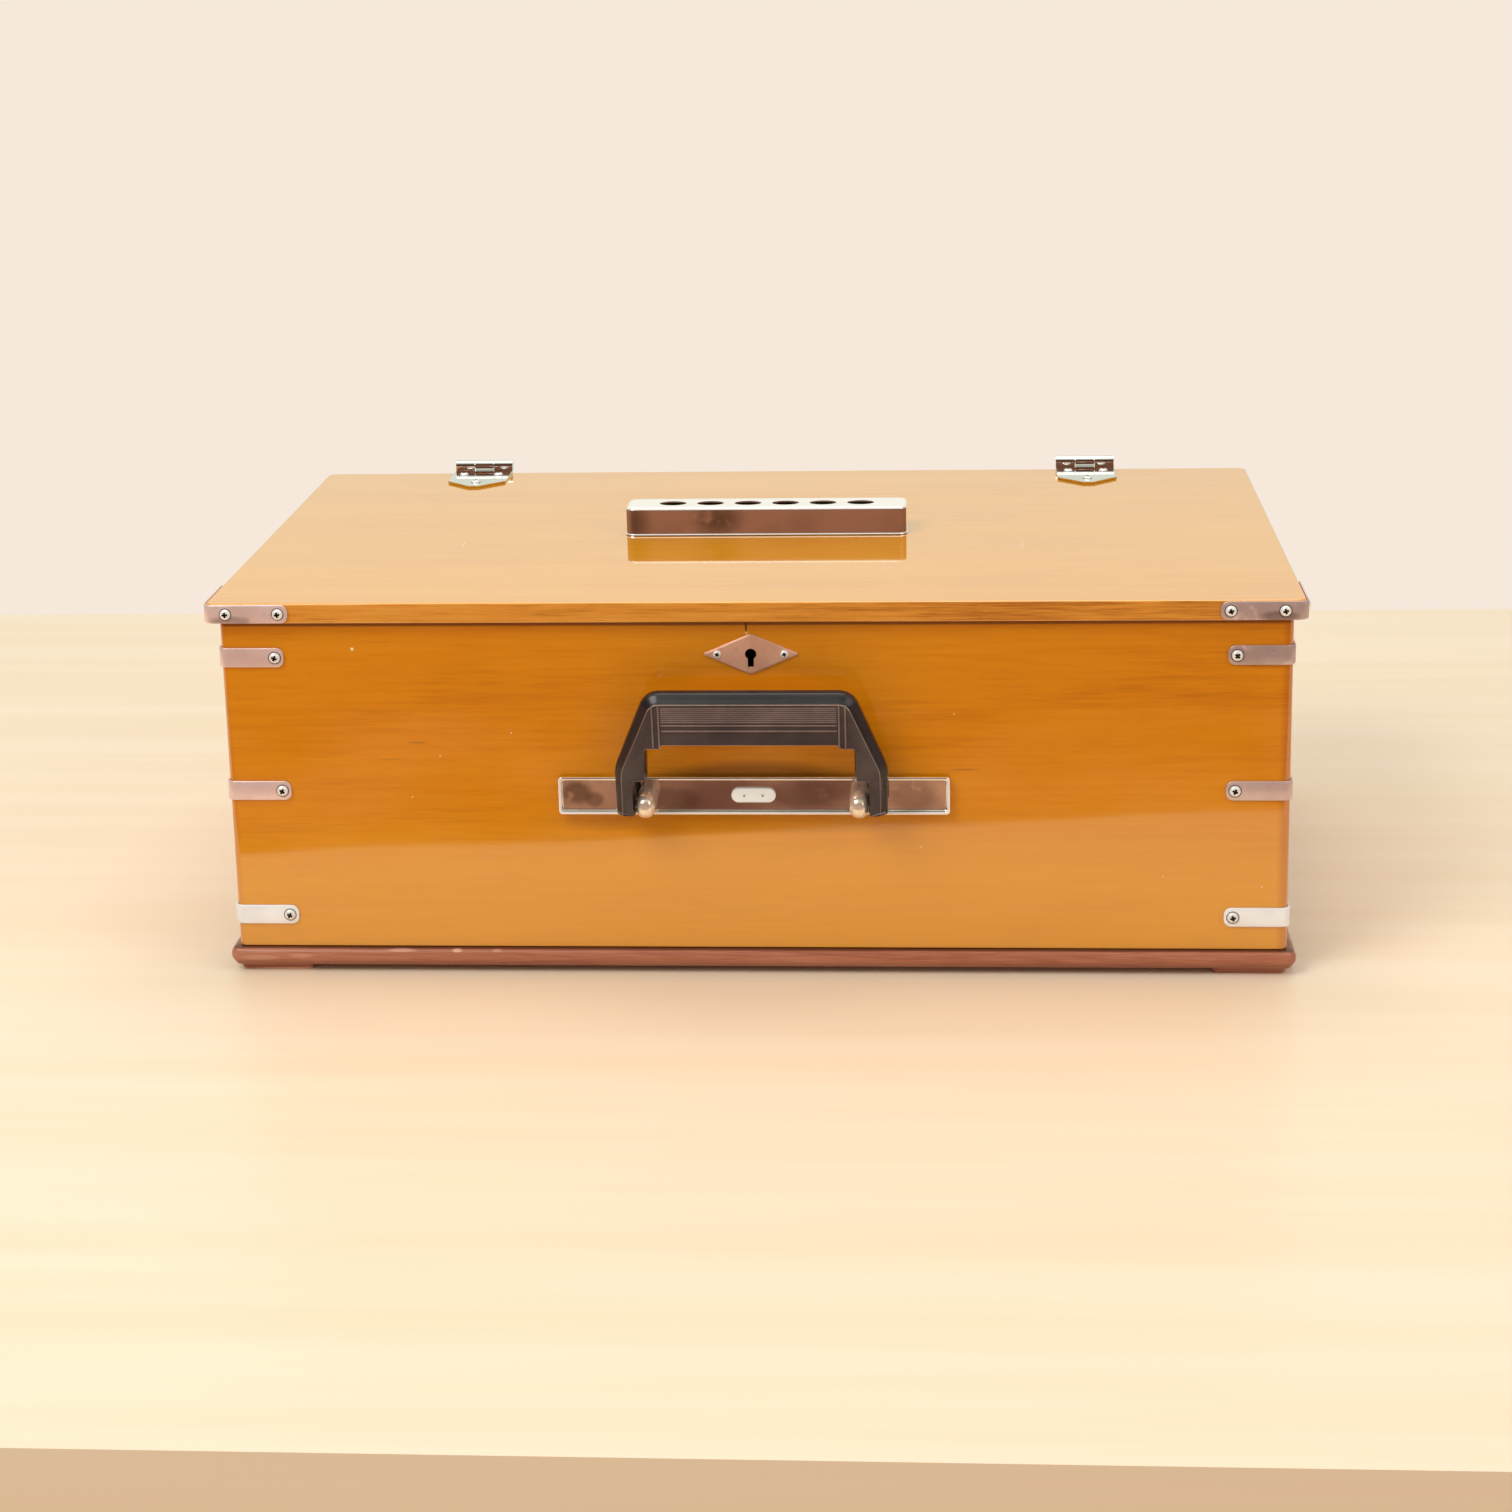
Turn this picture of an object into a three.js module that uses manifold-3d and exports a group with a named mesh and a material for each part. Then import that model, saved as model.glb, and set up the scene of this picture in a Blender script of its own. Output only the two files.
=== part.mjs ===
// Portable hand harmonium in a lacquered wooden case, closed, with its carry handle up.
// Millimetres, +Z up, the front towards -Y, the keyboard along X.
import * as THREE from 'three';
import * as BufferGeometryUtils from 'three/addons/utils/BufferGeometryUtils.js';
import Module from 'manifold-3d';

const wasm = await Module();
wasm.setup();

// Clearances
const seatGap = 0.3; // between pieces that are seated on each other
const runGap = 0.4; // all round a piece that turns or slides in another
const cutOver = 2; // how far a cut runs past the face that it opens

// Lid
const lidLength = 610;
const lidDepth = 340;
const lidThickness = 11.5;
const lidOverhang = 6; // past the case at the front and at both ends
const lidCorner = 5; // corner radius in plan
const lidEase = 1.1; // rounding of the top and bottom edges

// Case
const rimHeight = 208; // top of the case boards above the table
const boardThickness = 12;
const frontCorner = 4; // radius of the two upright front corners
const footHeight = 4;
const footLength = 46;
const footSlant = 3; // how far a foot draws in towards the table
const skirtHeight = 10.5;
const skirtProud = 5; // past the case boards
const skirtNose = 4; // depth of its rounded nose
const skirtCorner = 6;
const skirtBoard = 32; // width of the base frame under the boards
const bottomThickness = 7;
// height along the skirting and how far its nose draws in there
const noseShares = [
  [0, 0.8],
  [0.18, 0.4],
  [0.4, 0.06],
  [0.62, 0],
  [0.82, 0.14],
  [0.94, 0.42],
  [1, 0.8],
];

// Corner straps
const strapThickness = 1;
const strapHeight = 11.2;
const strapLeg = 36;
const strapDrop = 20.8; // middle of the top strap below the rim
const strapRise = 19.4; // middle of the bottom strap above the boards' foot
const strapLevelShares = [1, 0.4876, 0]; // from the bottom strap up to the top one
const lidStrapHeight = 10.5;
const lidStrapLeg = 47;

// Keyhole, lock, bolt and staple
const lockDrop = 19.4; // middle of the keyhole's round part below the rim
const shieldWidth = 52;
const shieldHeight = 22.6;
const shieldThickness = 1;
const shieldTip = 1.2; // blunting of its four points
const keyholeDiameter = 6.4;
const keyholeSlotWidth = 3.4;
const keyholeLength = 10.6;
const lockWidth = 40;
const lockHeight = 37;
const lockDepth = 7;
const lockPocket = 1.6; // depth of the recess for the key in the lock case's front
const lockPocketWidth = 12;
const lockPocketHeight = 18;
const boltWidth = 10;
const boltThickness = 3;
const boltLength = 24;
const boltSetback = 2.3; // from the lock case's front to the bolt's front
const boltThrow = 6;
const stapleLength = 42;
const stapleWidth = 13;
const stapleThickness = 1.5;

// Handle plate with its two pivot lugs
const handleDrop = 103.1; // pivot line below the rim
const pivotSag = 2; // pivot line below the plate's middle
const plateLength = 220;
const plateHeight = 22;
const plateBase = 1.5;
const plateRimHeight = 4.5;
const plateRimWidth = 1.7;
const plateCorner = 2.5;
const lugWidth = 8.2;
const lugRadius = 7;
const pivotReach = 13; // from the plate's base to the pivot line
const pinDiameter = 4;
const pinReach = 8; // length of a pin past its lug
const badgeLength = 25;
const badgeHeight = 8.4;
const badgeThickness = 1.6;

// Carry handle, measured from its pivot line with the arch upright
const gripTop = 70.3;
const gripBottom = 39.8;
const shoulderHeight = 61.2;
const shoulderHalf = 57;
const kneeHeight = 24.5;
const legHalf = 76; // half the width over the legs
const legFoot = 4.2; // below the pivot line
const legInner = 65; // half the gap between the legs at the pivots
const archInner = 58; // half the gap under the grip
const archKnee = 18; // the gap widens below this height, round the lugs
const flangeHalf = 49.8;
const flangeDrop = 2.2;
const handleCorner = 10;
const handleThickness = 14;
const handleBevel = 4.6;
const handleBevelDepth = 4;
const ribCount = 5;
const ribFoot = 54.6;
const ribPitch = 2.3;
const ribGroove = 0.9;
const ribDepth = 0.8;
const handleLean = (8.89 * Math.PI) / 180; // outward from upright at rest

// Sound cover on the lid
const coverLength = 170;
const coverWidth = 27;
const coverHeight = 17;
const coverCorner = 5.5;
const coverWall = 1.2;
const coverRound = 2;
const coverLip = 2;
const coverLipHeight = 1.4;
const coverHoles = 6;
const coverPitch = 22.8;
const coverHoleLength = 16;
const coverHoleWidth = 11;
const slotLength = 152;
const slotWidth = 16;

// Lid hinges
const hingeEnd = 105; // middle of a hinge from the lid's end
const leafWidth = 38;
const leafStraight = 32;
const leafReach = 47; // from the case's back to the leaf's tip
const leafThickness = 1.2;
const barrelDiameter = 7.5;
const barrelPin = 3;
const knuckleGap = 0.4;

// Keyboard: 25 white and 17 black keys, C to F
const whiteCount = 25;
const cheekWidth = 11.4; // the blocks beside the keyboard
const keyGap = 0.8;
const whiteDrop = 14; // key tops below the rim
const keyThickness = 14;
const keyPlate = 2; // white top plate
const keyNosing = 1.5; // how far the plate oversails the key's front
const keyFront = 23; // key fronts behind the case's front
const headLength = 47.6;
const keyShow = 94; // length of a key in front of the deck
const leverThickness = 7.5;
const leverWidthShare = 9 / 22; // of a white key's pitch, as the next ones are
const blackWidthShare = 5 / 11;
const blackTopShare = 4 / 11;
const reedWidthShare = 4 / 11;
const padHoleShare = 1 / 4;
const guidePinShare = 1 / 11;
const tailShare = 0.5078125; // of the room from the balance ridge to the inner frame
const padShare = 0.1953125; // pallet at the tail's end, of the same room
const balanceBack = 22; // the balance ridge behind the deck's front edge
const blackRise = 9;
const blackSlope = 4.5;
const blackFrontGap = 2.2; // room for a black key's front to swing forward
const slipThickness = 9;
const slipTop = 11; // its top below the rim
const slipHeight = 46;
const cheekTop = 8; // below the rim
const ridgeThickness = 5;
const frontRailWidth = 15;
const frontRailBack = 16; // front rail behind the key fronts
const frontRailHeight = 10;
const frameSide = 12.4;
const ridgeFuse = 1; // how far the ridge runs into the keys that it carries

// Deck behind the keys, with the stops
const deckThickness = 5;
const deckDrop = 10; // deck top below the rim
const stopRailBack = 28; // rail behind the deck's front edge
const stopRailThickness = 8;
const stopRailHeight = 9;
const stopCount = 4;
const stopPitchShare = 0.192; // of the deck's length
const stopHeight = 4.5; // rod's middle above the deck
const stopKnobDiameter = 8;
const stopKnobLength = 12;
const stopRodDiameter = 3;
const stopRodLength = 48;
const soundSlotCount = 6;
const soundPitchShare = 0.15; // of the deck's length
const soundSlotShare = 0.72; // of the slots' pitch
const soundSlotWidth = 9;
const soundSlotBack = 108; // behind the deck's front edge

// Reed board, wind chest and reservoir
const reedBoardThickness = 7.5;
const padGapDrop = 32.2; // reed board's top below the white key tops
const padHoleLength = 16;
const reedLength = 32;
const reedThickness = 2.4;
const guidePinRise = 27;
const guidePinBack = 54; // behind the deck's front edge
const chestHeight = 41.7;
const chestFront = 64; // behind the case's front
const chestWall = 9;
const chestFloor = 8;
const ductLength = 200;
const ductHeight = 22;
const ductDrop = 20; // its middle below the chest's top
const reservoirEnds = 36.7; // from its ends to the case's ends
const reservoirBack = 44.7; // from its back to the chest's back
const reservoirFront = 8; // behind the chest's front
const reservoirFold = 17;
const reservoirThickness = 8;
const foldWall = 2;
const foldBulge = 5;
const reservoirFolds = 3;
const springRadius = 13;
const springWire = 2.6;
const springTurns = 6;
const coilSteps = 8; // in each turn

// Bellows at the back, hinged along its foot
const railHeight = 40.6; // the rail above the bellows board
const bellowsClear = 0.7; // over the base
const railClear = 1.2; // between the board and the rail above it
const bellowsDepth = 43; // folded depth behind the inner frame
const bellowsFrame = 12;
const bellowsInset = 16; // folds in from the board's edges
const bellowsFolds = 5;
const intakeHoles = 6;
const intakeDiameter = 20;
const intakePitch = 34;
const intakeShare = 0.56; // height of their middles, of the board's height
const flapThickness = 1.6;
const flapLength = 214;
const flapHeight = 40;
const pianoEnds = 19; // from the long hinge's ends to the case's ends
const pianoBarrel = 5;
const pianoPin = 2;
const pianoLeaf = 1;
const pianoLeafUp = 16;
const pianoLeafDown = 8;
const pianoKnuckles = 9;
const catchLength = 46;
const catchWidth = 12;
const catchThickness = 2.5;
const catchStand = 1.5; // washer under the catch
const catchRise = 8; // its pivot above the rail's lower edge
const catchScrew = 4;

// Counts of sides and steps
const cornerSteps = 4;
const roundSides = 20;
const smallSides = 12;
const pinSides = 6;

// Levels and lines that follow from the sizes above
const lidFront = -lidDepth / 2;
const caseBack = lidDepth / 2;
const caseFront = lidFront + lidOverhang;
const caseHalf = lidLength / 2 - lidOverhang;
const innerHalf = caseHalf - boardThickness;
const roomHalf = innerHalf - seatGap;
const innerFront = caseFront + boardThickness;
const innerBack = caseBack - boardThickness;
const baseTop = footHeight + skirtHeight;
const boardFoot = baseTop + seatGap;
const lidBottom = rimHeight + seatGap;
const lidTop = lidBottom + lidThickness;
const keyTop = rimHeight - whiteDrop;
const keyBottom = keyTop - keyThickness;
const keyboardHalf = roomHalf - cheekWidth - seatGap;
const whitePitch = (2 * keyboardHalf) / whiteCount;
const leverWidth = leverWidthShare * whitePitch;
const blackWidth = blackWidthShare * whitePitch;
const blackTopWidth = blackTopShare * whitePitch;
const reedWidth = reedWidthShare * whitePitch;
const padHoleWidth = padHoleShare * whitePitch;
const guidePin = guidePinShare * whitePitch;
const deckLength = 2 * roomHalf;
const stopSpacing = stopPitchShare * deckLength;
const soundSlotPitch = soundPitchShare * deckLength;
const soundSlotLength = soundSlotShare * soundSlotPitch;
const hingeMiddle = lidLength / 2 - hingeEnd;
const pianoLength = 2 * (caseHalf - pianoEnds);
const reservoirLength = 2 * (roomHalf - reservoirEnds);
const keyFrontLine = caseFront + keyFront;
const deckFront = keyFrontLine + keyShow;
const headBack = keyFrontLine + headLength;
const ridgeLine = deckFront + balanceBack;
const reedTop = keyTop - padGapDrop;
const reedBottom = reedTop - reedBoardThickness;
const deckTop = rimHeight - deckDrop;
const chestTop = reedBottom - seatGap;
const chestBottom = chestTop - chestHeight;
const frameBack = innerBack - bellowsDepth;
const frameFront = frameBack - bellowsFrame;
const tailRoom = frameFront - ridgeLine;
const tailBack = ridgeLine + tailShare * tailRoom;
const padLength = padShare * tailRoom;
const bellowsFoot = baseTop + bellowsClear;
const railFoot = rimHeight - railHeight;
const bellowsTop = railFoot - railClear;
const intakeHeight = intakeShare * (bellowsTop - bellowsFoot);
const lockMiddle = rimHeight - lockDrop;
const lockFront = innerFront + seatGap;
const boltFront = lockFront + boltSetback;
const lugMiddle = legInner - runGap - lugWidth / 2;
const pivotHeight = rimHeight - handleDrop;
const plateMiddle = pivotHeight + pivotSag;
const plateBack = caseFront - seatGap;
const plateFace = plateBack - plateBase;
const pivotLine = plateFace - pivotReach;
const barrelRadius = barrelDiameter / 2;
const hingeLine = caseBack + seatGap + barrelRadius;
const hingeHeight = lidTop + seatGap + barrelRadius;
const pianoRadius = pianoBarrel / 2;
const pianoLine = caseBack + seatGap + pianoRadius;
const pianoHeight = baseTop + bellowsClear / 2;

// Solids from rings, outlines and profiles

// A closed triangle mesh as a solid, whichever way its faces were wound.
function solidFrom(points, triangles) {
  const corner = (i) => new THREE.Vector3(...points[i]);
  let volume = 0;
  for (const [a, b, c] of triangles) volume += corner(a).dot(corner(b).cross(corner(c)));
  const faces = volume < 0 ? triangles.map(([a, b, c]) => [a, c, b]) : triangles;
  return new wasm.Manifold(
    new wasm.Mesh({
      numProp: 3,
      vertProperties: new Float32Array(points.flat()),
      triVerts: new Uint32Array(faces.flat()),
    }),
  );
}

// Rings of the same count of points, one after another, with flat convex ends.
function loft(rings) {
  const count = rings[0].length;
  const triangles = [];
  for (let r = 0; r + 1 < rings.length; r++) {
    for (let i = 0; i < count; i++) {
      const a = r * count + i;
      const b = r * count + ((i + 1) % count);
      triangles.push([a, b, b + count], [a, b + count, a + count]);
    }
  }
  const last = (rings.length - 1) * count;
  for (let i = 1; i + 1 < count; i++) {
    triangles.push([0, i + 1, i], [last, last + i, last + i + 1]);
  }
  return solidFrom(rings.flat(), triangles);
}

// Hollow rings closed on themselves: outer rings one way, inner rings back.
function tubeOfRings(rings) {
  const count = rings[0].length;
  const triangles = [];
  for (let r = 0; r < rings.length; r++) {
    const next = (r + 1) % rings.length;
    for (let i = 0; i < count; i++) {
      const j = (i + 1) % count;
      triangles.push(
        [r * count + i, r * count + j, next * count + j],
        [r * count + i, next * count + j, next * count + i],
      );
    }
  }
  return solidFrom(rings.flat(), triangles);
}

// A rounded rectangle's outline as [u, v] points.
function roundedRectangle(u0, u1, v0, v1, radius, steps = cornerSteps) {
  const points = [];
  const centres = [
    [u1 - radius, v1 - radius],
    [u0 + radius, v1 - radius],
    [u0 + radius, v0 + radius],
    [u1 - radius, v0 + radius],
  ];
  centres.forEach(([u, v], quarter) => {
    for (let i = 0; i <= steps; i++) {
      const angle = ((quarter + i / steps) * Math.PI) / 2;
      points.push([u + radius * Math.cos(angle), v + radius * Math.sin(angle)]);
    }
  });
  return points;
}

const rectangle = (u0, u1, v0, v1) => [
  [u0, v0],
  [u1, v0],
  [u1, v1],
  [u0, v1],
];

function circle(u, v, radius, sides = roundSides) {
  return Array.from({ length: sides }, (_, i) => {
    const angle = ((i + 1 / 2) * 2 * Math.PI) / sides;
    return [u + radius * Math.cos(angle), v + radius * Math.sin(angle)];
  });
}

function ellipse(u, v, halfU, halfV, sides = roundSides) {
  return circle(0, 0, 1, sides).map(([a, b]) => [u + halfU * a, v + halfV * b]);
}

// A rounded slab whose rows are [level, how far its outline draws in].
function slab(u0, u1, v0, v1, rows, radius, place = (u, v, w) => [u, v, w]) {
  return loft(
    rows.map(([level, inset]) =>
      roundedRectangle(
        u0 + inset,
        u1 - inset,
        v0 + inset,
        v1 - inset,
        Math.max(radius - inset, radius / 4),
      ).map(([u, v]) => place(u, v, level)),
    ),
  );
}

const onFront = (u, v, w) => [u, w, v]; // rows that run along Y

// An outline drawn in two axes and extruded along the third.
function extrude(outline, from, to, place) {
  const shape = new THREE.Shape(outline.map(([u, v]) => new THREE.Vector2(u, v)));
  const geometry = new THREE.ExtrudeGeometry(shape, { depth: to - from, bevelEnabled: false });
  return fromGeometry(geometry, ([u, v, w]) => place(u, v, w + from));
}

function fromGeometry(geometry, place = (p) => p) {
  geometry.deleteAttribute('normal');
  geometry.deleteAttribute('uv');
  const merged = BufferGeometryUtils.mergeVertices(geometry);
  const points = [];
  for (let i = 0; i < merged.attributes.position.count; i++) {
    const at = new THREE.Vector3().fromBufferAttribute(merged.attributes.position, i);
    points.push(place(at.toArray()));
  }
  const index = Array.from(merged.index.array);
  const triangles = [];
  for (let i = 0; i < index.length; i += 3) triangles.push(index.slice(i, i + 3));
  return solidFrom(points, triangles);
}

const alongX = (outline, x0, x1) => extrude(outline, x0, x1, (u, v, w) => [w, u, v]);
const alongY = (outline, y0, y1) => extrude(outline, y0, y1, (u, v, w) => [u, w, v]);
const alongZ = (outline, z0, z1) => extrude(outline, z0, z1, (u, v, w) => [u, v, w]);
const block = (x0, x1, y0, y1, z0, z1) => alongZ(rectangle(x0, x1, y0, y1), z0, z1);
const joined = (...solids) => solids.reduce((all, one) => all.add(one));
const cutFrom = (solid, ...cuts) => cuts.reduce((left, cut) => left.subtract(cut), solid);
const common = (...solids) => solids.reduce((all, one) => all.intersect(one));
const steps = (count) => Array.from({ length: count }, (_, i) => i);
// places of a row of count things about the centre line
const centred = (count, pitch) => steps(count).map((i) => (i - (count - 1) / 2) * pitch);

// The named pieces
const harmonium = new THREE.Group();

const finishes = {
  wood: { color: 0xd67a1c, roughness: 0.25, metalness: 0 },
  darkWood: { color: 0x8a4a32, roughness: 0.4, metalness: 0 },
  innerWood: { color: 0xc79a62, roughness: 0.6, metalness: 0 },
  chrome: { color: 0xe6e6e6, roughness: 0.08, metalness: 1 },
  steel: { color: 0xc9a596, roughness: 0.3, metalness: 1 },
  brass: { color: 0xc8a24a, roughness: 0.3, metalness: 1 },
  blackPlastic: { color: 0x141414, roughness: 0.35, metalness: 0 },
  whitePlastic: { color: 0xf2eee2, roughness: 0.3, metalness: 0 },
  cloth: { color: 0x6e1f1f, roughness: 0.8, metalness: 0 },
  leather: { color: 0xb58a5c, roughness: 0.8, metalness: 0 },
};

function piece(name, solid, finish, parent = harmonium) {
  const mesh = solid.getMesh();
  const geometry = new THREE.BufferGeometry();
  geometry.setAttribute('position', new THREE.BufferAttribute(mesh.vertProperties, 3));
  geometry.setIndex(new THREE.BufferAttribute(mesh.triVerts, 1));
  geometry.computeVertexNormals();
  const node = new THREE.Mesh(geometry, new THREE.MeshStandardMaterial(finishes[finish]));
  node.name = name;
  parent.add(node);
  return node;
}

// Base: a skirting frame with a rounded nose on four corner feet, and the bottom board in it
function basePlinth() {
  const half = caseHalf + skirtProud;
  const front = caseFront - skirtProud;
  const rows = noseShares.map(([up, inset]) => [
    footHeight + up * skirtHeight,
    inset * skirtNose,
  ]);
  const ring = cutFrom(
    slab(-half, half, front, caseBack, rows, skirtCorner),
    block(
      skirtBoard - half,
      half - skirtBoard,
      front + skirtBoard,
      caseBack - skirtBoard,
      footHeight - cutOver,
      baseTop + cutOver,
    ),
  );
  const inset = skirtNose * noseShares[0][1];
  const foot = (x0, x1, y0, y1) =>
    slab(
      x0,
      x1,
      y0,
      y1,
      [
        [0, footSlant],
        [footHeight + skirtNose / 2, 0],
      ],
      skirtCorner,
    );
  const outerX = half - inset;
  const outerFront = front + inset;
  const outerBack = caseBack - inset;
  return joined(
    ring,
    foot(-outerX, footLength - outerX, outerFront, outerFront + footLength),
    foot(outerX - footLength, outerX, outerFront, outerFront + footLength),
    foot(-outerX, footLength - outerX, outerBack - footLength, outerBack),
    foot(outerX - footLength, outerX, outerBack - footLength, outerBack),
  );
}

function bottomBoard() {
  const x = caseHalf + skirtProud - skirtBoard - seatGap;
  const y0 = caseFront - skirtProud + skirtBoard + seatGap;
  const y1 = caseBack - skirtBoard - seatGap;
  return block(-x, x, y0, y1, baseTop - bottomThickness, baseTop);
}

// Case boards
function keyholeOutline(clearance) {
  const radius = keyholeDiameter / 2 + clearance;
  const half = keyholeSlotWidth / 2 + clearance;
  const foot = lockMiddle + keyholeDiameter / 2 - keyholeLength - clearance;
  const first = Math.asin(half / radius);
  const turn = 2 * Math.PI - 2 * first;
  const arc = steps(smallSides + 1).map((i) => {
    const angle = first + (turn * i) / smallSides;
    return [-radius * Math.sin(angle), lockMiddle - radius * Math.cos(angle)];
  });
  return [...arc, [half, foot], [-half, foot]];
}

function frontBoard() {
  const y0 = caseFront;
  const outline = [
    [-caseHalf, innerFront],
    ...roundedRectangle(-caseHalf, caseHalf, y0, innerFront + frontCorner, frontCorner).slice(
      2 * (cornerSteps + 1),
    ),
    [caseHalf, innerFront],
  ];
  return cutFrom(
    alongZ(outline, boardFoot, rimHeight),
    alongY(keyholeOutline(0), y0 - cutOver, innerFront + cutOver),
  );
}

function endBoard(side) {
  const x = [side * innerHalf, side * caseHalf].sort((a, b) => a - b);
  return block(...x, innerFront + seatGap, innerBack - seatGap, boardFoot, rimHeight);
}

function rearRail() {
  return cutFrom(
    block(-caseHalf, caseHalf, innerBack, caseBack, railFoot, rimHeight),
    alongY(
      circle(0, railFoot + catchRise, catchScrew / 2 + runGap, smallSides),
      innerBack - cutOver,
      caseBack + cutOver,
    ),
  );
}

// An angled strap round an upright corner, with a rounded end to each leg.
// cornerX and cornerY are the wood's faces; side is -1 at the left, 1 at the right.
function strap(side, cornerX, cornerY, middle, height, leg, radius) {
  const inner = cornerY - seatGap;
  const outer = inner - strapThickness;
  const insideX = cornerX + seatGap;
  const outsideX = insideX + strapThickness;
  const back = cornerY + leg;
  const end = cornerX - leg;
  const outerRadius = radius + seatGap + strapThickness;
  const plan = cutFrom(
    alongZ(
      roundedRectangle(end - outerRadius, outsideX, outer, back + outerRadius, outerRadius),
      middle - height / 2,
      middle + height / 2,
    ),
    alongZ(
      roundedRectangle(
        end - outerRadius - cutOver,
        insideX,
        inner,
        back + outerRadius + cutOver,
        radius + seatGap,
      ),
      middle - height,
      middle + height,
    ),
  );
  const half = height / 2;
  const frontView = roundedRectangle(end, outsideX + half, middle - half, middle + half, half);
  const sideView = roundedRectangle(outer - half, back, middle - half, middle + half, half);
  const solid = common(
    plan,
    alongY(frontView, outer - cutOver, back + cutOver),
    alongX(sideView, end - cutOver, outsideX + cutOver),
  );
  return side > 0 ? solid : solid.mirror([1, 0, 0]);
}

// Keyhole plate and lock
function escutcheon() {
  const halfWidth = shieldWidth / 2;
  const halfHeight = shieldHeight / 2;
  const outline = [
    [halfWidth, -shieldTip / 2],
    [halfWidth, shieldTip / 2],
    [shieldTip, halfHeight],
    [-shieldTip, halfHeight],
    [-halfWidth, shieldTip / 2],
    [-halfWidth, -shieldTip / 2],
    [-shieldTip, -halfHeight],
    [shieldTip, -halfHeight],
  ];
  const ring = (scale, y) => outline.map(([u, v]) => [u * scale, y, lockMiddle + v * scale]);
  const back = caseFront - seatGap;
  const edge = shieldThickness / halfHeight; // the bevel draws in by the plate's thickness
  const plate = loft([
    ring(1, back),
    ring(1, back - shieldThickness / 2),
    ring(1 - edge, back - shieldThickness),
  ]);
  return cutFrom(plate, alongY(keyholeOutline(0), back - 2 * cutOver, back + cutOver));
}

function lockCase() {
  const top = rimHeight - seatGap;
  const half = boltWidth / 2 + runGap;
  const y0 = boltFront - runGap;
  const y1 = boltFront + boltThickness + runGap;
  return cutFrom(
    block(
      -lockWidth / 2,
      lockWidth / 2,
      lockFront,
      lockFront + lockDepth,
      top - lockHeight,
      top,
    ),
    block(-half, half, y0, y1, top - boltLength - seatGap, top + cutOver),
    block(
      -lockPocketWidth / 2,
      lockPocketWidth / 2,
      lockFront - cutOver,
      lockFront + lockPocket,
      lockMiddle - lockPocketHeight / 2,
      lockMiddle + lockPocketHeight / 2,
    ),
  );
}

function lockBolt() {
  const top = rimHeight - seatGap;
  const half = boltWidth / 2;
  return slab(
    -half,
    half,
    boltFront,
    boltFront + boltThickness,
    [
      [top - boltLength, 0],
      [top - boltThickness / 3, 0],
      [top, boltThickness / 4],
    ],
    boltThickness / 3,
  );
}

const boltMiddle = boltFront + boltThickness / 2;

function boltSlot(z0, z1) {
  const half = boltWidth / 2 + 2 * runGap;
  const deep = boltThickness / 2 + 2 * runGap;
  return block(-half, half, boltMiddle - deep, boltMiddle + deep, z0, z1);
}

function lockStaple() {
  const y0 = boltMiddle - stapleWidth / 2;
  const plate = slab(
    -stapleLength / 2,
    stapleLength / 2,
    y0,
    y0 + stapleWidth,
    [
      [lidBottom, 0],
      [lidBottom + stapleThickness, 0],
    ],
    stapleWidth / 4,
  );
  return cutFrom(plate, boltSlot(lidBottom - cutOver, lidBottom + stapleThickness + cutOver));
}

// Lid
function lidPanel() {
  const rows = [
    [lidBottom, lidEase / 2],
    [lidBottom + lidEase / 2, 0],
    [lidTop - lidEase, 0],
    [lidTop - lidEase / 3, lidEase / 3],
    [lidTop, lidEase],
  ];
  const half = lidLength / 2;
  const y0 = boltMiddle - stapleWidth / 2;
  return cutFrom(
    slab(-half, half, lidFront, caseBack, rows, lidCorner),
    alongZ(
      roundedRectangle(
        -slotLength / 2,
        slotLength / 2,
        -slotWidth / 2,
        slotWidth / 2,
        slotWidth / 3,
      ),
      lidBottom - cutOver,
      lidTop + cutOver,
    ),
    slab(
      -stapleLength / 2 - seatGap,
      stapleLength / 2 + seatGap,
      y0 - seatGap,
      y0 + stapleWidth + seatGap,
      [
        [lidBottom - cutOver, 0],
        [lidBottom + stapleThickness + seatGap, 0],
      ],
      stapleWidth / 4 + seatGap,
    ),
    boltSlot(lidBottom, lidBottom + boltThrow + cutOver),
  );
}

function soundCover() {
  const z0 = lidTop + seatGap;
  const z1 = z0 + coverHeight;
  const halfLength = coverLength / 2;
  const halfWidth = coverWidth / 2;
  const shell = joined(
    slab(
      -halfLength,
      halfLength,
      -halfWidth,
      halfWidth,
      [
        [z0, 0],
        [z1 - coverRound, 0],
        [z1 - coverRound / 3, coverRound / 4],
        [z1, coverRound],
      ],
      coverCorner,
    ),
    slab(
      -halfLength - coverLip,
      halfLength + coverLip,
      -halfWidth - coverLip,
      halfWidth + coverLip,
      [
        [z0, 0],
        [z0 + coverLipHeight / 2, 0],
        [z0 + coverLipHeight, coverLipHeight / 2],
      ],
      coverCorner + coverLip,
    ),
  );
  const inside = slab(
    coverWall - halfLength,
    halfLength - coverWall,
    coverWall - halfWidth,
    halfWidth - coverWall,
    [
      [z0 - cutOver, 0],
      [z1 - coverWall - coverRound / 2, 0],
      [z1 - coverWall, coverRound / 2],
    ],
    coverCorner - coverWall,
  );
  const holes = centred(coverHoles, coverPitch).map((x) =>
    alongZ(
      ellipse(x, 0, coverHoleLength / 2, coverHoleWidth / 2),
      z1 - coverWall - cutOver,
      z1 + cutOver,
    ),
  );
  return cutFrom(shell, inside, ...holes);
}

// Lid hinges. The lid's leaf has the middle knuckle, the case's leaf has the outer two and the pin.
const knuckle = leafWidth / 3;

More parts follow.
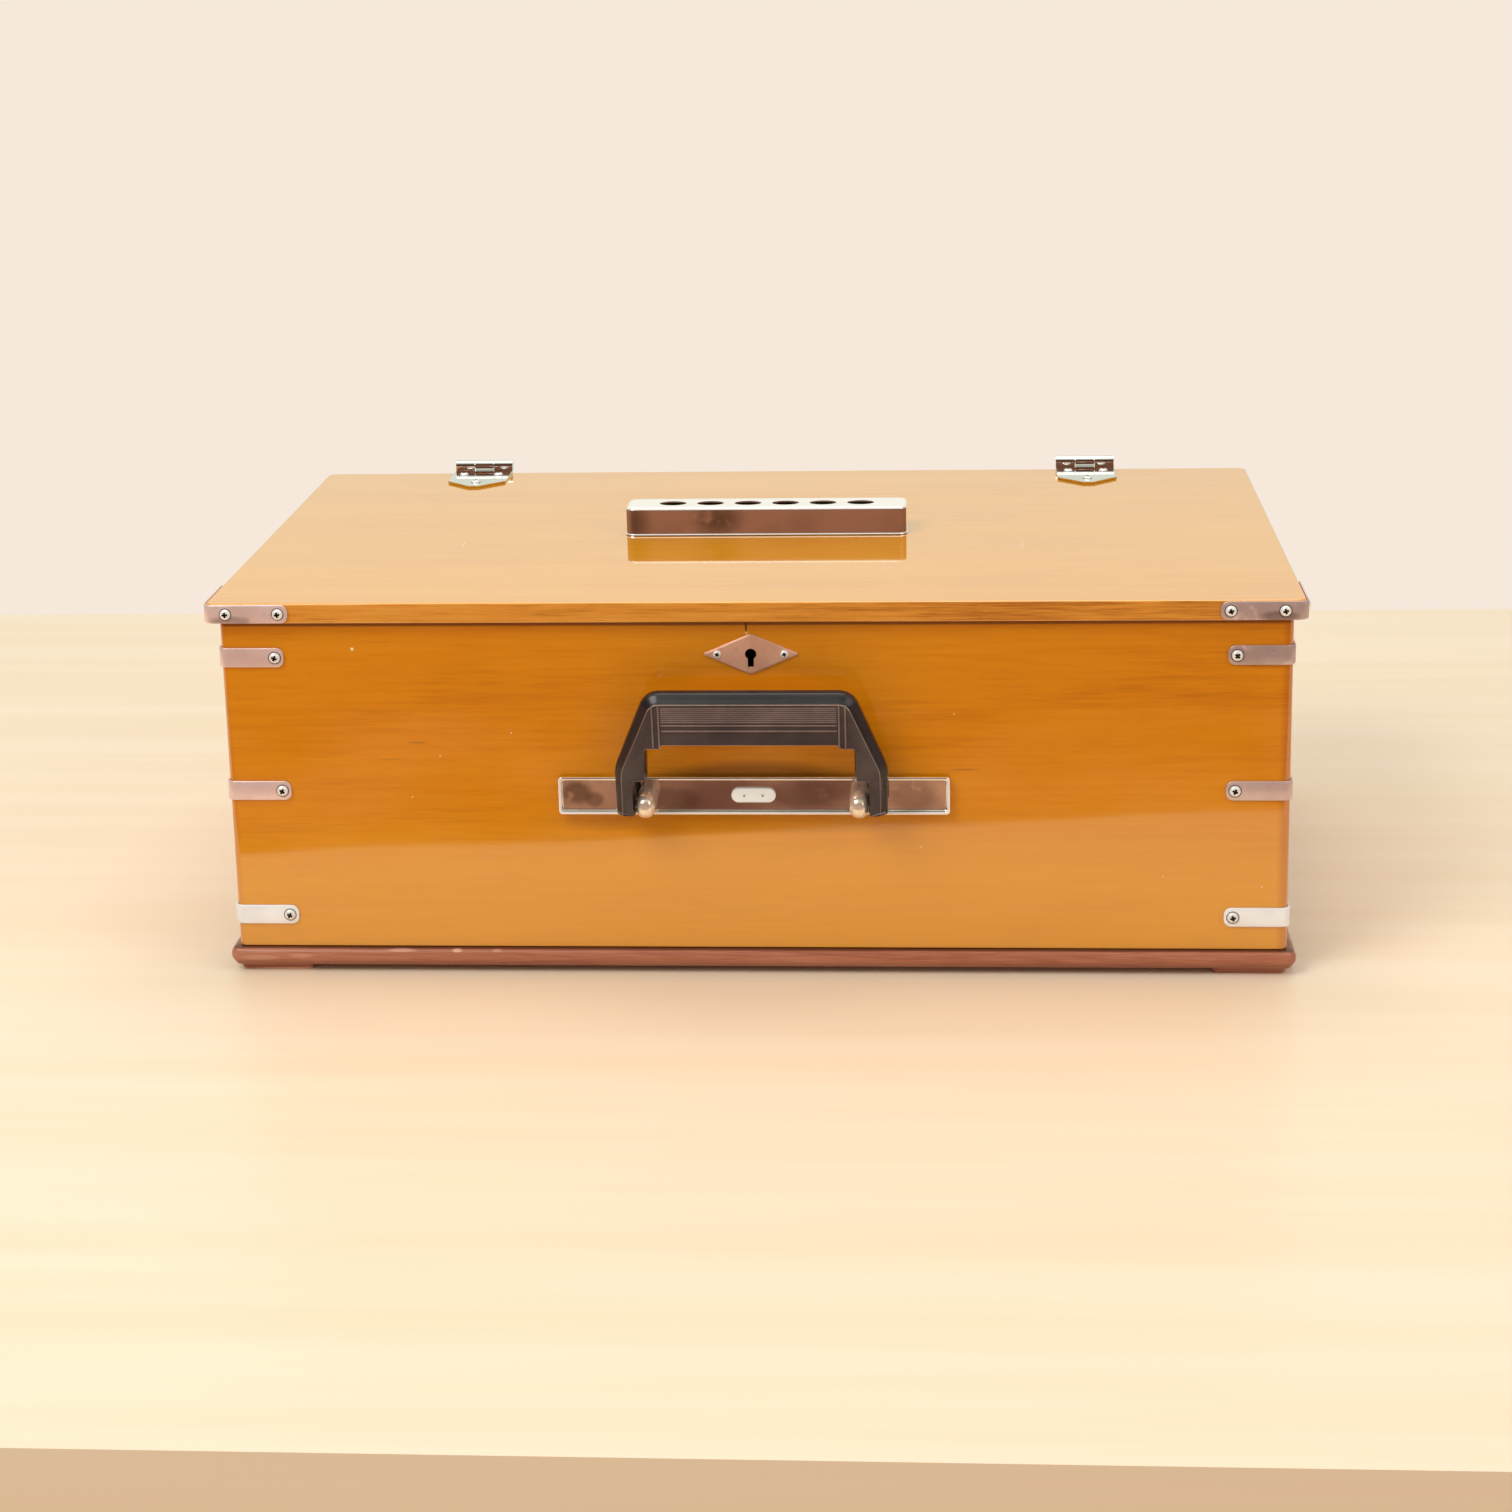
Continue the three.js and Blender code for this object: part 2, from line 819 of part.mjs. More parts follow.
function barrel(x0, x1, radius, sides = roundSides) {
  return alongX(circle(hingeLine, hingeHeight, radius, sides), x0, x1);
}

// The leaf's outline: square at the barrel, pointed at its far end. far runs away from the barrel.
function leafOutline(x, near, toward) {
  const half = leafWidth / 2;
  return [
    [x - half, near],
    [x + half, near],
    [x + half, caseBack - toward * leafStraight],
    [x + half / 6, caseBack - toward * leafReach],
    [x - half / 6, caseBack - toward * leafReach],
    [x - half, caseBack - toward * leafStraight],
  ];
}

function lidLeaf(x) {
  const z0 = lidTop + seatGap;
  const half = knuckle / 2 - knuckleGap / 2;
  const plate = alongZ(leafOutline(x, caseBack - seatGap, 1), z0, z0 + leafThickness);
  const tongue = block(x - half, x + half, caseBack - leafThickness, hingeLine, z0, z0 + leafThickness);
  const bore = barrel(x - leafWidth, x + leafWidth, barrelPin / 2 + runGap / 2, smallSides);
  return cutFrom(joined(plate, tongue, barrel(x - half, x + half, barrelRadius)), bore);
}

function caseLeaf(x) {
  const y0 = caseBack + seatGap;
  const y1 = y0 + leafThickness;
  const half = leafWidth / 2;
  const shoulder = lidTop - leafThickness;
  const down = (reach) => hingeHeight - reach;
  const outline = [
    [x - half, shoulder],
    [x - half, down(leafStraight)],
    [x - half / 6, down(leafReach)],
    [x + half / 6, down(leafReach)],
    [x + half, down(leafStraight)],
    [x + half, shoulder],
  ];
  const inner = knuckle / 2 + knuckleGap / 2;
  const parts = [-1, 1].flatMap((side) => {
    const ends = [side * inner, side * half].sort((a, b) => a - b).map((d) => x + d);
    return [
      block(...ends, y0, y1, shoulder - leafThickness, hingeHeight),
      barrel(...ends, barrelRadius),
    ];
  });
  return joined(
    alongY(outline, y0, y1),
    ...parts,
    barrel(x - half, x + half, barrelPin / 2, smallSides),
  );
}

// Handle plate: a shallow tray with a raised rim, two lugs and the pins that carry the handle
function handlePlate() {
  const half = plateLength / 2;
  const z0 = plateMiddle - plateHeight / 2;
  const z1 = plateMiddle + plateHeight / 2;
  const rim = plateBack - plateRimHeight;
  const tray = cutFrom(
    slab(
      -half,
      half,
      z0,
      z1,
      [
        [plateBack, 0],
        [rim + plateRimWidth / 3, 0],
        [rim, plateRimWidth / 3],
      ],
      plateCorner,
      onFront,
    ),
    slab(
      plateRimWidth - half,
      half - plateRimWidth,
      z0 + plateRimWidth,
      z1 - plateRimWidth,
      [
        [plateFace, 0],
        [rim - cutOver, 0],
      ],
      plateCorner - plateRimWidth / 2,
      onFront,
    ),
  );
  const lugs = [-1, 1].flatMap((side) => {
    const inner = side * (lugMiddle - lugWidth / 2);
    const outer = side * (lugMiddle + lugWidth / 2);
    const ends = [inner, outer].sort((a, b) => a - b);
    const pin = [inner, outer + side * pinReach].sort((a, b) => a - b);
    const flank = lugRadius;
    const profile = [
      ...steps(smallSides + 1).map((i) => {
        const angle = Math.PI / 2 + (Math.PI * i) / smallSides;
        return [pivotLine + lugRadius * Math.cos(angle), pivotHeight + lugRadius * Math.sin(angle)];
      }),
      [plateBack - plateBase / 2, pivotHeight - flank],
      [plateBack - plateBase / 2, pivotHeight + flank],
    ];
    return [
      alongX(profile, ...ends),
      alongX(circle(pivotLine, pivotHeight, pinDiameter / 2, smallSides), ...pin),
    ];
  });
  return joined(tray, ...lugs);
}

function blankBadge() {
  const y0 = plateFace - seatGap;
  return slab(
    -badgeLength / 2,
    badgeLength / 2,
    plateMiddle - badgeHeight / 2,
    plateMiddle + badgeHeight / 2,
    [
      [y0, 0],
      [y0 - badgeThickness / 2, 0],
      [y0 - badgeThickness, badgeThickness / 2],
    ],
    badgeHeight / 2,
    onFront,
  );
}

// Carry handle about its own pivot line: the arch stands up along Z, its front faces -Y.
function carryHandle() {
  const outer = [
    [legHalf, -legFoot],
    [legHalf, kneeHeight],
    [shoulderHalf + handleCorner / 2, shoulderHeight - handleCorner / 2],
    [shoulderHalf, gripTop - handleCorner / 4],
    [shoulderHalf - handleCorner / 2, gripTop],
  ];
  const side = (points) => [
    ...points,
    ...points
      .slice()
      .reverse()
      .map(([x, z]) => [-x, z]),
  ];
  const inner = [
    [legInner, -legFoot - cutOver],
    [legInner, archKnee],
    [archInner, archKnee],
    [archInner, gripBottom - flangeDrop],
    [flangeHalf, gripBottom - flangeDrop],
    [flangeHalf, gripBottom],
  ];
  const shape = new THREE.Shape(side(outer).map(([x, z]) => new THREE.Vector2(x, z)));
  const half = handleThickness / 2;
  const arch = fromGeometry(
    new THREE.ExtrudeGeometry(shape, {
      depth: handleThickness - 2 * handleBevelDepth,
      bevelThickness: handleBevelDepth,
      bevelSize: handleBevel,
      bevelOffset: -handleBevel,
      bevelSegments: 1,
    }),
    ([x, z, y]) => [x, y + handleBevelDepth - half, z],
  );
  // the bevel stops at the legs' feet, which end square
  const square = block(-legHalf, legHalf, -half, half, -legFoot - cutOver, gripTop + cutOver);
  const opening = alongY(side(inner), -handleThickness, handleThickness);
  const bores = [-1, 1].map((s) => {
    const ends = [s * (legInner - cutOver), s * (lugMiddle + lugWidth / 2 + pinReach + runGap)];
    ends.sort((a, b) => a - b);
    return alongX(circle(0, 0, pinDiameter / 2 + runGap / 2, smallSides), ...ends);
  });
  const grooves = steps(ribCount).map((i) => {
    const z = ribFoot + i * ribPitch;
    const long = shoulderHalf - 2 * handleBevel;
    return block(-long, long, -half - cutOver, ribDepth - half, z, z + ribGroove);
  });
  return cutFrom(common(arch, square), opening, ...bores, ...grooves);
}

// Keys. Each octave has two groups: C to E with five equal slots, F to B with seven.
const groupsOfOctave = [
  { whites: ['c', 'd', 'e'], blacks: ['c_sharp', 'd_sharp', null], slots: 5 },
  {
    whites: ['f', 'g', 'a', 'b'],
    blacks: ['f_sharp', 'g_sharp', 'a_sharp', null],
    slots: 7,
  },
];

function keyPlan() {
  const keys = [];
  let left = 0; // white keys counted from the left
  for (let octave = 0; left < whiteCount; octave++) {
    for (const group of groupsOfOctave) {
      const whites = group.whites.slice(0, whiteCount - left);
      if (!whites.length) break;
      const x0 = left * whitePitch - keyboardHalf;
      const x1 = x0 + whites.length * whitePitch;
      const blacks = group.blacks.slice(0, whites.length - 1);
      const slot = (x1 - x0) / (whites.length + blacks.length);
      const middle = (i) => x0 + (i + 1 / 2) * slot;
      whites.forEach((note, i) => {
        const before = i > 0 ? middle(2 * i - 1) + blackWidth / 2 + keyGap : x0 + keyGap / 2;
        const after =
          i < blacks.length ? middle(2 * i + 1) - blackWidth / 2 - keyGap : x1 - keyGap / 2;
        keys.push({
          note,
          octave,
          black: false,
          head: [x0 + i * whitePitch + keyGap / 2, x0 + (i + 1) * whitePitch - keyGap / 2],
          neck: [before, after],
          middle: middle(2 * i),
        });
      });
      blacks.forEach((note, i) => {
        const x = middle(2 * i + 1);
        keys.push({
          note,
          octave,
          black: true,
          neck: [x - blackWidth / 2, x + blackWidth / 2],
          middle: x,
        });
      });
      left += whites.length;
    }
  }
  return keys;
}

const padBottom = reedTop + seatGap;

// The lever behind the deck's front edge, with the pallet under its end.
const tailProfile = [
  [tailBack, keyBottom + leverThickness],
  [tailBack, padBottom],
  [tailBack - padLength, padBottom],
  [tailBack - padLength, keyBottom],
];

function keySolid(key) {
  const lever = rectangle(
    key.middle - leverWidth / 2,
    key.middle + leverWidth / 2,
    deckFront - cutOver,
    tailBack,
  );
  if (key.black) {
    const front = headBack + blackFrontGap;
    const top = keyTop + blackRise;
    const profile = [
      [front, keyBottom],
      [front, top - blackSlope],
      [front + blackSlope, top],
      [deckFront - keyGap, top],
      [deckFront - keyGap, keyBottom + leverThickness],
      ...tailProfile,
    ];
    const half = blackWidth / 2;
    const crown = blackTopWidth / 2;
    const section = [
      [key.middle - half, padBottom],
      [key.middle + half, padBottom],
      [key.middle + half, keyTop],
      [key.middle + crown, top],
      [key.middle - crown, top],
      [key.middle - half, keyTop],
    ];
    return common(
      alongX(profile, ...key.neck),
      joined(alongZ(rectangle(...key.neck, front, deckFront), padBottom, top), alongZ(lever, padBottom, top)),
      alongY(section, front, tailBack),
    );
  }
  const profile = [
    [keyFrontLine + keyNosing, keyBottom],
    [keyFrontLine + keyNosing, keyTop - keyPlate],
    [keyFrontLine, keyTop - keyPlate],
    [keyFrontLine, keyTop],
    [deckFront - keyGap, keyTop],
    [deckFront - keyGap, keyBottom + leverThickness],
    ...tailProfile,
  ];
  const plan = joined(
    alongZ(rectangle(...key.head, keyFrontLine, headBack), padBottom, keyTop),
    alongZ(rectangle(...key.neck, headBack - cutOver, deckFront), padBottom, keyTop),
    alongZ(lever, padBottom, keyTop),
  );
  return common(alongX(profile, key.head[0] - whitePitch, key.head[1] + whitePitch), plan);
}

const keys = keyPlan();
const playedOctave = 1; // the octave whose keys are pieces of their own
const isPlayed = (key) => key.octave === playedOctave;

// Key frame: front rail, two sides and the balance rail. Its ridge carries every key;
// the keys outside the played octave are one piece with it.
function keyFrame() {
  const half = keyboardHalf - seatGap;
  const z0 = reedTop + seatGap;
  const front = keyFrontLine + frontRailBack;
  const ridgeTop = keyBottom - seatGap;
  const back = ridgeLine + ridgeThickness;
  const ridge = alongX(
    [
      [ridgeLine - ridgeThickness, z0],
      [back, z0],
      [back, ridgeTop - ridgeThickness],
      [ridgeLine + ridgeThickness / 3, ridgeTop],
      [ridgeLine - ridgeThickness / 3, ridgeTop],
      [ridgeLine - ridgeThickness, ridgeTop - ridgeThickness],
    ],
    -half,
    half,
  );
  const rail = block(-half, half, front, front + frontRailWidth, z0, z0 + frontRailHeight);
  const sides = [-1, 1].map((s) => {
    const ends = [s * half, s * (half - frameSide)].sort((a, b) => a - b);
    return block(...ends, front, back, z0, z0 + frontRailHeight);
  });
  const carried = keys
    .filter((key) => !isPlayed(key))
    .flatMap((key) => [
      keySolid(key),
      block(
        key.middle - leverWidth / 2,
        key.middle + leverWidth / 2,
        ridgeLine - ridgeThickness / 3,
        ridgeLine + ridgeThickness / 3,
        ridgeTop - ridgeFuse,
        keyBottom + ridgeFuse,
      ),
    ]);
  return joined(rail, ...sides, ridge, ...carried);
}

function keySlip() {
  const y0 = innerFront + seatGap;
  const z1 = rimHeight - slipTop;
  return cutFrom(
    block(-roomHalf, roomHalf, y0, y0 + slipThickness, z1 - slipHeight, z1),
    block(
      -lockWidth / 2 - seatGap,
      lockWidth / 2 + seatGap,
      y0 - cutOver,
      lockFront + lockDepth + seatGap,
      rimHeight - seatGap - lockHeight - seatGap,
      z1 + cutOver,
    ),
  );
}

function cheek(side) {
  const x = [side * (keyboardHalf + seatGap), side * roomHalf].sort((a, b) => a - b);
  const y0 = innerFront + seatGap + slipThickness + seatGap;
  return block(...x, y0, deckFront - seatGap, reedTop + seatGap, rimHeight - cheekTop);
}

// Deck with the stop rail, rod holes and sound slots
function deck() {
  const z0 = deckTop - deckThickness;
  const railFront = deckFront + stopRailBack;
  const rail = block(
    -roomHalf,
    roomHalf,
    railFront,
    railFront + stopRailThickness,
    deckTop - seatGap,
    deckTop + stopRailHeight,
  );
  const rods = centred(stopCount, stopSpacing).map((x) =>
    alongY(
      circle(x, deckTop + stopHeight, stopRodDiameter / 2 + runGap, smallSides),
      railFront - cutOver,
      railFront + stopRailThickness + cutOver,
    ),
  );
  const y = deckFront + soundSlotBack;
  const slots = centred(soundSlotCount, soundSlotPitch).map((x) =>
    alongZ(
      roundedRectangle(
        x - soundSlotLength / 2,
        x + soundSlotLength / 2,
        y - soundSlotWidth / 2,
        y + soundSlotWidth / 2,
        soundSlotWidth / 3,
      ),
      z0 - cutOver,
      deckTop + cutOver,
    ),
  );
  const panel = block(-roomHalf, roomHalf, deckFront, innerBack - seatGap, z0, deckTop);
  return cutFrom(joined(panel, rail), ...rods, ...slots);
}

// Stop knob on its rod, turned about Y: the knob in front of the rail, the rod through it
function stopKnob(x) {
  const radius = stopKnobDiameter / 2;
  const rod = stopRodDiameter / 2;
  const back = deckFront + stopRailBack - seatGap;
  const front = back - stopKnobLength;
  const rings = [
    [front, radius / 2],
    [front + radius / 4, radius * (3 / 4)],
    [front + radius / 2, radius],
    [front + stopKnobLength / 2, radius],
    [back - radius / 2, radius * (2 / 3)],
    [back - radius / 4, radius * (3 / 4)],
    [back, radius * (3 / 4)],
    [back, rod],
    [back + stopRodLength, rod],
  ];
  const z = deckTop + stopHeight;
  return loft(
    rings.map(([y, r]) => circle(x, z, r, smallSides).map(([u, v]) => [u, y, v])),
  );
}

// Reed board: pallet holes above, reeds below, guide pins between the levers
function reedBoard() {
  const padMiddle = tailBack - padLength / 2;
  const board = block(
    -roomHalf,
    roomHalf,
    innerFront + seatGap + slipThickness + seatGap,
    frameFront - seatGap,
    reedBottom,
    reedTop,
  );
  const reeds = keys.map(({ middle }) =>
    block(
      middle - reedWidth / 2,
      middle + reedWidth / 2,
      padMiddle - reedLength / 2,
      padMiddle + reedLength / 2,
      reedBottom - reedThickness,
      reedBottom + seatGap,
    ),
  );
  const holes = keys.map(({ middle }) =>
    block(
      middle - padHoleWidth / 2,
      middle + padHoleWidth / 2,
      padMiddle - padHoleLength / 2,
      padMiddle + padHoleLength / 2,
      reedBottom - reedThickness - cutOver,
      reedTop + cutOver,
    ),
  );
  const middles = keys.map((key) => key.middle).sort((a, b) => a - b);
  const pins = middles
    .slice(1)
    .map((middle, i) =>
      alongZ(
        circle(
          (middle + middles[i]) / 2,
          deckFront + guidePinBack,
          guidePin / 2,
          pinSides,
        ),
        reedTop - seatGap,
        reedTop + guidePinRise,
      ),
    );
  return joined(cutFrom(joined(board, ...reeds), ...holes), ...pins);
}

function duct(y0, y1) {
  const z = chestTop - ductDrop;
  return block(-ductLength / 2, ductLength / 2, y0, y1, z - ductHeight / 2, z + ductHeight / 2);
}

const chestFrontLine = caseFront + chestFront;

function windChest() {
  const half = roomHalf;
  const back = frameFront - seatGap;
  const port = reservoirLength / 3;
  return cutFrom(
    block(-half, half, chestFrontLine, back, chestBottom, chestTop),
    block(
      chestWall - half,
      half - chestWall,
      chestFrontLine + chestWall,
      back - chestWall,
      chestBottom + chestFloor,
      chestTop + cutOver,
    ),
    duct(back - chestWall - cutOver, back + cutOver),
    block(
      -port / 2,
      port / 2,
      chestFrontLine + reservoirDepth / 3,
      chestFrontLine + reservoirDepth / 2,
      chestBottom - cutOver,
      chestBottom + chestFloor + cutOver,
    ),
  );
}

// A pleated wall round an opening: rings that swell and draw in from fold to fold
function pleats(half0, half1, from, to, folds, place) {
  const count = 2 * folds;
  const rows = steps(count + 1).map((i) => [
    from + ((to - from) * i) / count,
    i % 2 === 0 ? foldBulge : 0,
  ]);
  const ring = (inset, level) =>
    rectangle(half0[0] + inset, half0[1] - inset, half1[0] + inset, half1[1] - inset).map(
      ([u, v]) => place(u, v, level),
    );
  const outside = rows.map(([level, inset]) => ring(inset, level));
  const inside = rows.map(([level, inset]) => ring(inset + foldWall, level)).reverse();
  return tubeOfRings([...outside, ...inside]);
}

const reservoirTop = chestBottom - seatGap;
const reservoirSeat = reservoirTop - reservoirFold;
const reservoirStart = chestFrontLine + reservoirFront;
const reservoirEnd = frameFront - seatGap - reservoirBack;
const reservoirDepth = reservoirEnd - reservoirStart;

function reservoirPleats() {
  const half = reservoirLength / 2 - foldBulge;
  return pleats(
    [-half, half],
    [reservoirStart + foldBulge, reservoirEnd - foldBulge],
    reservoirTop,
    reservoirSeat,
    reservoirFolds,
    (u, v, w) => [u, v, w],
  );
}

function reservoirBoard() {
  const top = reservoirSeat - seatGap;
  const half = reservoirLength / 2;
  return block(-half, half, reservoirStart, reservoirEnd, top - reservoirThickness, top);
}

// Coil spring between the bottom board and the reservoir's board
function reservoirSpring() {
  const wire = springWire / 2;
  const z0 = baseTop + seatGap + wire;
  const z1 = reservoirSeat - seatGap - reservoirThickness - seatGap - wire;
  const y = reservoirStart + reservoirDepth / 2;
  class Coil extends THREE.Curve {
    getPoint(t, target = new THREE.Vector3()) {
      const angle = 2 * Math.PI * springTurns * t;
      return target.set(
        springRadius * Math.cos(angle),
        y + springRadius * Math.sin(angle),
        z0 + (z1 - z0) * t,
      );
    }
  }
  const section = new THREE.Shape(
    circle(0, 0, wire, pinSides - 1).map(([u, v]) => new THREE.Vector2(u, v)),
  );
  const geometry = new THREE.ExtrudeGeometry(section, {
    steps: springTurns * coilSteps,
    bevelEnabled: false,
    extrudePath: new Coil(),
  });
  return fromGeometry(geometry);
}

// Bellows
function innerFrame() {
  return cutFrom(
    block(-roomHalf, roomHalf, frameFront, frameBack, boardFoot, bellowsTop),
    duct(frameFront - cutOver, frameBack + cutOver),
  );
}

function bellowsPleats() {
  const half = roomHalf - bellowsInset;
  return pleats(
    [-half, half],
    [bellowsFoot + bellowsInset, bellowsTop - bellowsInset],
    frameBack + seatGap,
    innerBack - seatGap,
    bellowsFolds,
    onFront,
  );
}

function bellowsBoard() {
  const rows = [
    [innerBack, 0],
    [caseBack - lidEase, 0],
    [caseBack, lidEase],
  ];
  const holes = centred(intakeHoles, intakePitch).map((x) =>
    alongY(
      circle(x, bellowsFoot + intakeHeight, intakeDiameter / 2, smallSides),
      innerBack - cutOver,
      caseBack + cutOver,
    ),
  );
  return cutFrom(
    slab(-caseHalf, caseHalf, bellowsFoot, bellowsTop, rows, frontCorner, onFront),
    ...holes,
  );
}

function intakeFlap() {
  const z = bellowsFoot + intakeHeight;
  const y1 = innerBack - seatGap;
  return block(
    -flapLength / 2,
    flapLength / 2,
    y1 - flapThickness,
    y1,
    z - flapHeight / 2,
    z + flapHeight / 2,
  );
}

// Long hinge at the bellows board's foot. Odd knuckles go with the base, even ones with the board.
function pianoHinge(moving) {
  const y0 = caseBack + seatGap;
  const y1 = y0 + pianoLeaf;
  const half = pianoLength / 2;
  const long = pianoLength / pianoKnuckles;
  const round = (x0, x1, radius) => alongX(circle(pianoLine, pianoHeight, radius, smallSides), x0, x1);
  const above = pianoHeight + pianoRadius + seatGap;
  const below = pianoHeight - pianoRadius - seatGap;
  const leaf = moving
    ? block(-half, half, y0, y1, above, above + pianoLeafUp)
    : block(-half, half, y0, y1, below - pianoLeafDown, below);
  const own = steps(pianoKnuckles).filter((i) => (i % 2 === 1) === moving);
  const parts = own.flatMap((i) => {
    const x0 = i * long - half + knuckleGap / 2;
    const x1 = (i + 1) * long - half - knuckleGap / 2;
    const z = moving ? [pianoHeight, above + pianoLeaf] : [below - pianoLeaf, pianoHeight];
    return [round(x0, x1, pianoRadius), block(x0, x1, y0, y1, ...z)];
  });
  const all = joined(leaf, ...parts);
  const pin = (radius) => round(-half, half, radius);
  return moving ? cutFrom(all, pin(pianoPin / 2 + runGap / 2)) : joined(all, pin(pianoPin / 2));
}

// Turn catch over the bellows board, lying level when it is released
function bellowsCatch() {
  const z = railFoot + catchRise;
  const y0 = caseBack + catchStand;
  const half = catchWidth / 2;
  const bar = slab(
    -half,
    catchLength - half,
    z - half,
    z + half,
    [
      [y0, 0],
      [y0 + catchThickness / 2, 0],
      [y0 + catchThickness, catchThickness / 2],
    ],
    half,
    onFront,
  );
  const boss = alongY(
    circle(0, z, half - catchStand, smallSides),
    caseBack + seatGap,
    y0 + catchThickness / 2,
  );
  const screw = alongY(
    circle(0, z, catchScrew / 2, smallSides),
    innerBack + seatGap,
    y0 + catchThickness / 2,
  );
  return joined(bar, boss, screw);
}

// Assembly
piece('base_plinth', basePlinth(), 'darkWood');
piece('bottom_board', bottomBoard(), 'innerWood');
piece('front_board', frontBoard(), 'wood');
piece('left_end_board', endBoard(-1), 'wood');
piece('right_end_board', endBoard(1), 'wood');
piece('rear_rail', rearRail(), 'wood');
const levelNames = ['top', 'middle', 'bottom'];
for (const [side, name] of [
  [-1, 'left'],
  [1, 'right'],
]) {
  strapLevelShares.forEach((share, i) => {
    const bottom = boardFoot + strapRise;
    const middle = bottom + share * (rimHeight - strapDrop - bottom);
    const solid = strap(side, caseHalf, caseFront, middle, strapHeight, strapLeg, frontCorner);
    piece(`corner_strap_${name}_${levelNames[i]}`, solid, 'steel');
  });
  piece(`cheek_${name}`, cheek(side), 'wood');
  piece(`hinge_case_leaf_${name}`, caseLeaf(side * hingeMiddle), 'chrome');
  piece(`hinge_lid_leaf_${name}`, lidLeaf(side * hingeMiddle), 'chrome');
  const lidMiddle = lidBottom + lidThickness / 2;
  const lidStrap = strap(
    side,
    lidLength / 2,
    lidFront,
    lidMiddle,
    lidStrapHeight,
    lidStrapLeg,
    lidCorner,
  );
  piece(`lid_strap_${name}`, lidStrap, 'steel');
}
piece('keyhole_escutcheon', escutcheon(), 'steel');
piece('lock_case', lockCase(), 'brass');
piece('lock_bolt', lockBolt(), 'brass');
piece('lid_panel', lidPanel(), 'wood');
piece('lock_staple', lockStaple(), 'brass');
piece('lid_vent_cover', soundCover(), 'chrome');
piece('handle_plate', handlePlate(), 'chrome');
piece('handle_badge', blankBadge(), 'chrome');

const handle = piece('carry_handle', carryHandle(), 'blackPlastic');
handle.position.set(0, pivotLine, pivotHeight);
handle.rotation.x = handleLean;

piece('keyboard_frame', keyFrame(), 'whitePlastic');
for (const key of keys.filter(isPlayed)) {
  piece(`key_${key.note}`, keySolid(key), key.black ? 'blackPlastic' : 'whitePlastic');
}
piece('key_slip', keySlip(), 'wood');
piece('deck_panel', deck(), 'wood');
centred(stopCount, stopSpacing).forEach((x, i) => {
  piece(`stop_knob_${i + 1}`, stopKnob(x), 'blackPlastic');
});
piece('reed_board', reedBoard(), 'innerWood');
piece('wind_chest', windChest(), 'innerWood');
piece('reservoir_folds', reservoirPleats(), 'cloth');
piece('reservoir_board', reservoirBoard(), 'innerWood');
piece('reservoir_spring', reservoirSpring(), 'steel');
piece('bellows_frame', innerFrame(), 'innerWood');
piece('bellows_folds', bellowsPleats(), 'cloth');
piece('bellows_board', bellowsBoard(), 'wood');
piece('intake_flap', intakeFlap(), 'leather');
piece('bellows_hinge_fixed', pianoHinge(false), 'brass');
piece('bellows_hinge_moving', pianoHinge(true), 'brass');
piece('bellows_catch', bellowsCatch(), 'brass');

// The origin is under the middle of the whole object, on the table.
harmonium.updateMatrixWorld(true);
const middle = new THREE.Box3().setFromObject(harmonium, true).getCenter(new THREE.Vector3());
const part = new THREE.Group();
harmonium.position.set(0, -middle.y, 0);
part.add(harmonium);

export default part;
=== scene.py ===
# %% [markdown]
# A portable hand harmonium in its travelling case
#
# The instrument is a lacquered wooden box with steel corner straps, a carry handle in a chrome
# tray, and a chrome cover over the lid's sound slot. Its sizes, joints and main solids come
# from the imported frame. This lesson gives each visible piece its worked edges, its small
# fittings and its finish, and sets it on a pale table in front of a cream wall.

# %% Load the frame
import math

import bmesh
import bpy
from mathutils import Matrix, Vector
from mathutils.geometry import tessellate_polygon


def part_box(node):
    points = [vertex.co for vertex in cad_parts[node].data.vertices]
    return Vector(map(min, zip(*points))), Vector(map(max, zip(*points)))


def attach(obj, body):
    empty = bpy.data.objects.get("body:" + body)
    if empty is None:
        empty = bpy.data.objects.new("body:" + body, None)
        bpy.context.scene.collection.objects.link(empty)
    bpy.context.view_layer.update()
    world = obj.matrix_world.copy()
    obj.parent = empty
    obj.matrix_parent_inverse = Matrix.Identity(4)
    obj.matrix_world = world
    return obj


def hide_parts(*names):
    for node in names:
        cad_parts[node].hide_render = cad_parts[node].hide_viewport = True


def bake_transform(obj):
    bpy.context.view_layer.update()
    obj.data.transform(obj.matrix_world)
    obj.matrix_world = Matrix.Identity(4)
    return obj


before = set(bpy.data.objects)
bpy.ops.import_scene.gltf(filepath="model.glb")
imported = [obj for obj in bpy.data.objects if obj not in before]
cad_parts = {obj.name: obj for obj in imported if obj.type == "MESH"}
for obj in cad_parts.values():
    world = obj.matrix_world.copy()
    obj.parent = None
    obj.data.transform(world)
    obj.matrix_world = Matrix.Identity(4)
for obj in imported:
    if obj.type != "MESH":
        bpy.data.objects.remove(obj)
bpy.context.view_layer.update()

MM = 0.001

# %% [markdown]
# The camera
#
# A product photograph is taken with a short telephoto lens from a little above the lid. The
# place, the turn and the lens were solved from corners of the case whose real positions are
# known, so that every edge of the model lies on the same edge in the picture. The small shift
# is the lens standing a little higher than the middle of the picture. The far plane stays
# near, because nothing lies beyond the wall.

# %% Camera
def in_scene(name, data, place=(0, 0, 0)):
    """A new object at a place, linked into the scene."""
    made = bpy.data.objects.new(name, data)
    made.location = place
    bpy.context.scene.collection.objects.link(made)
    return made


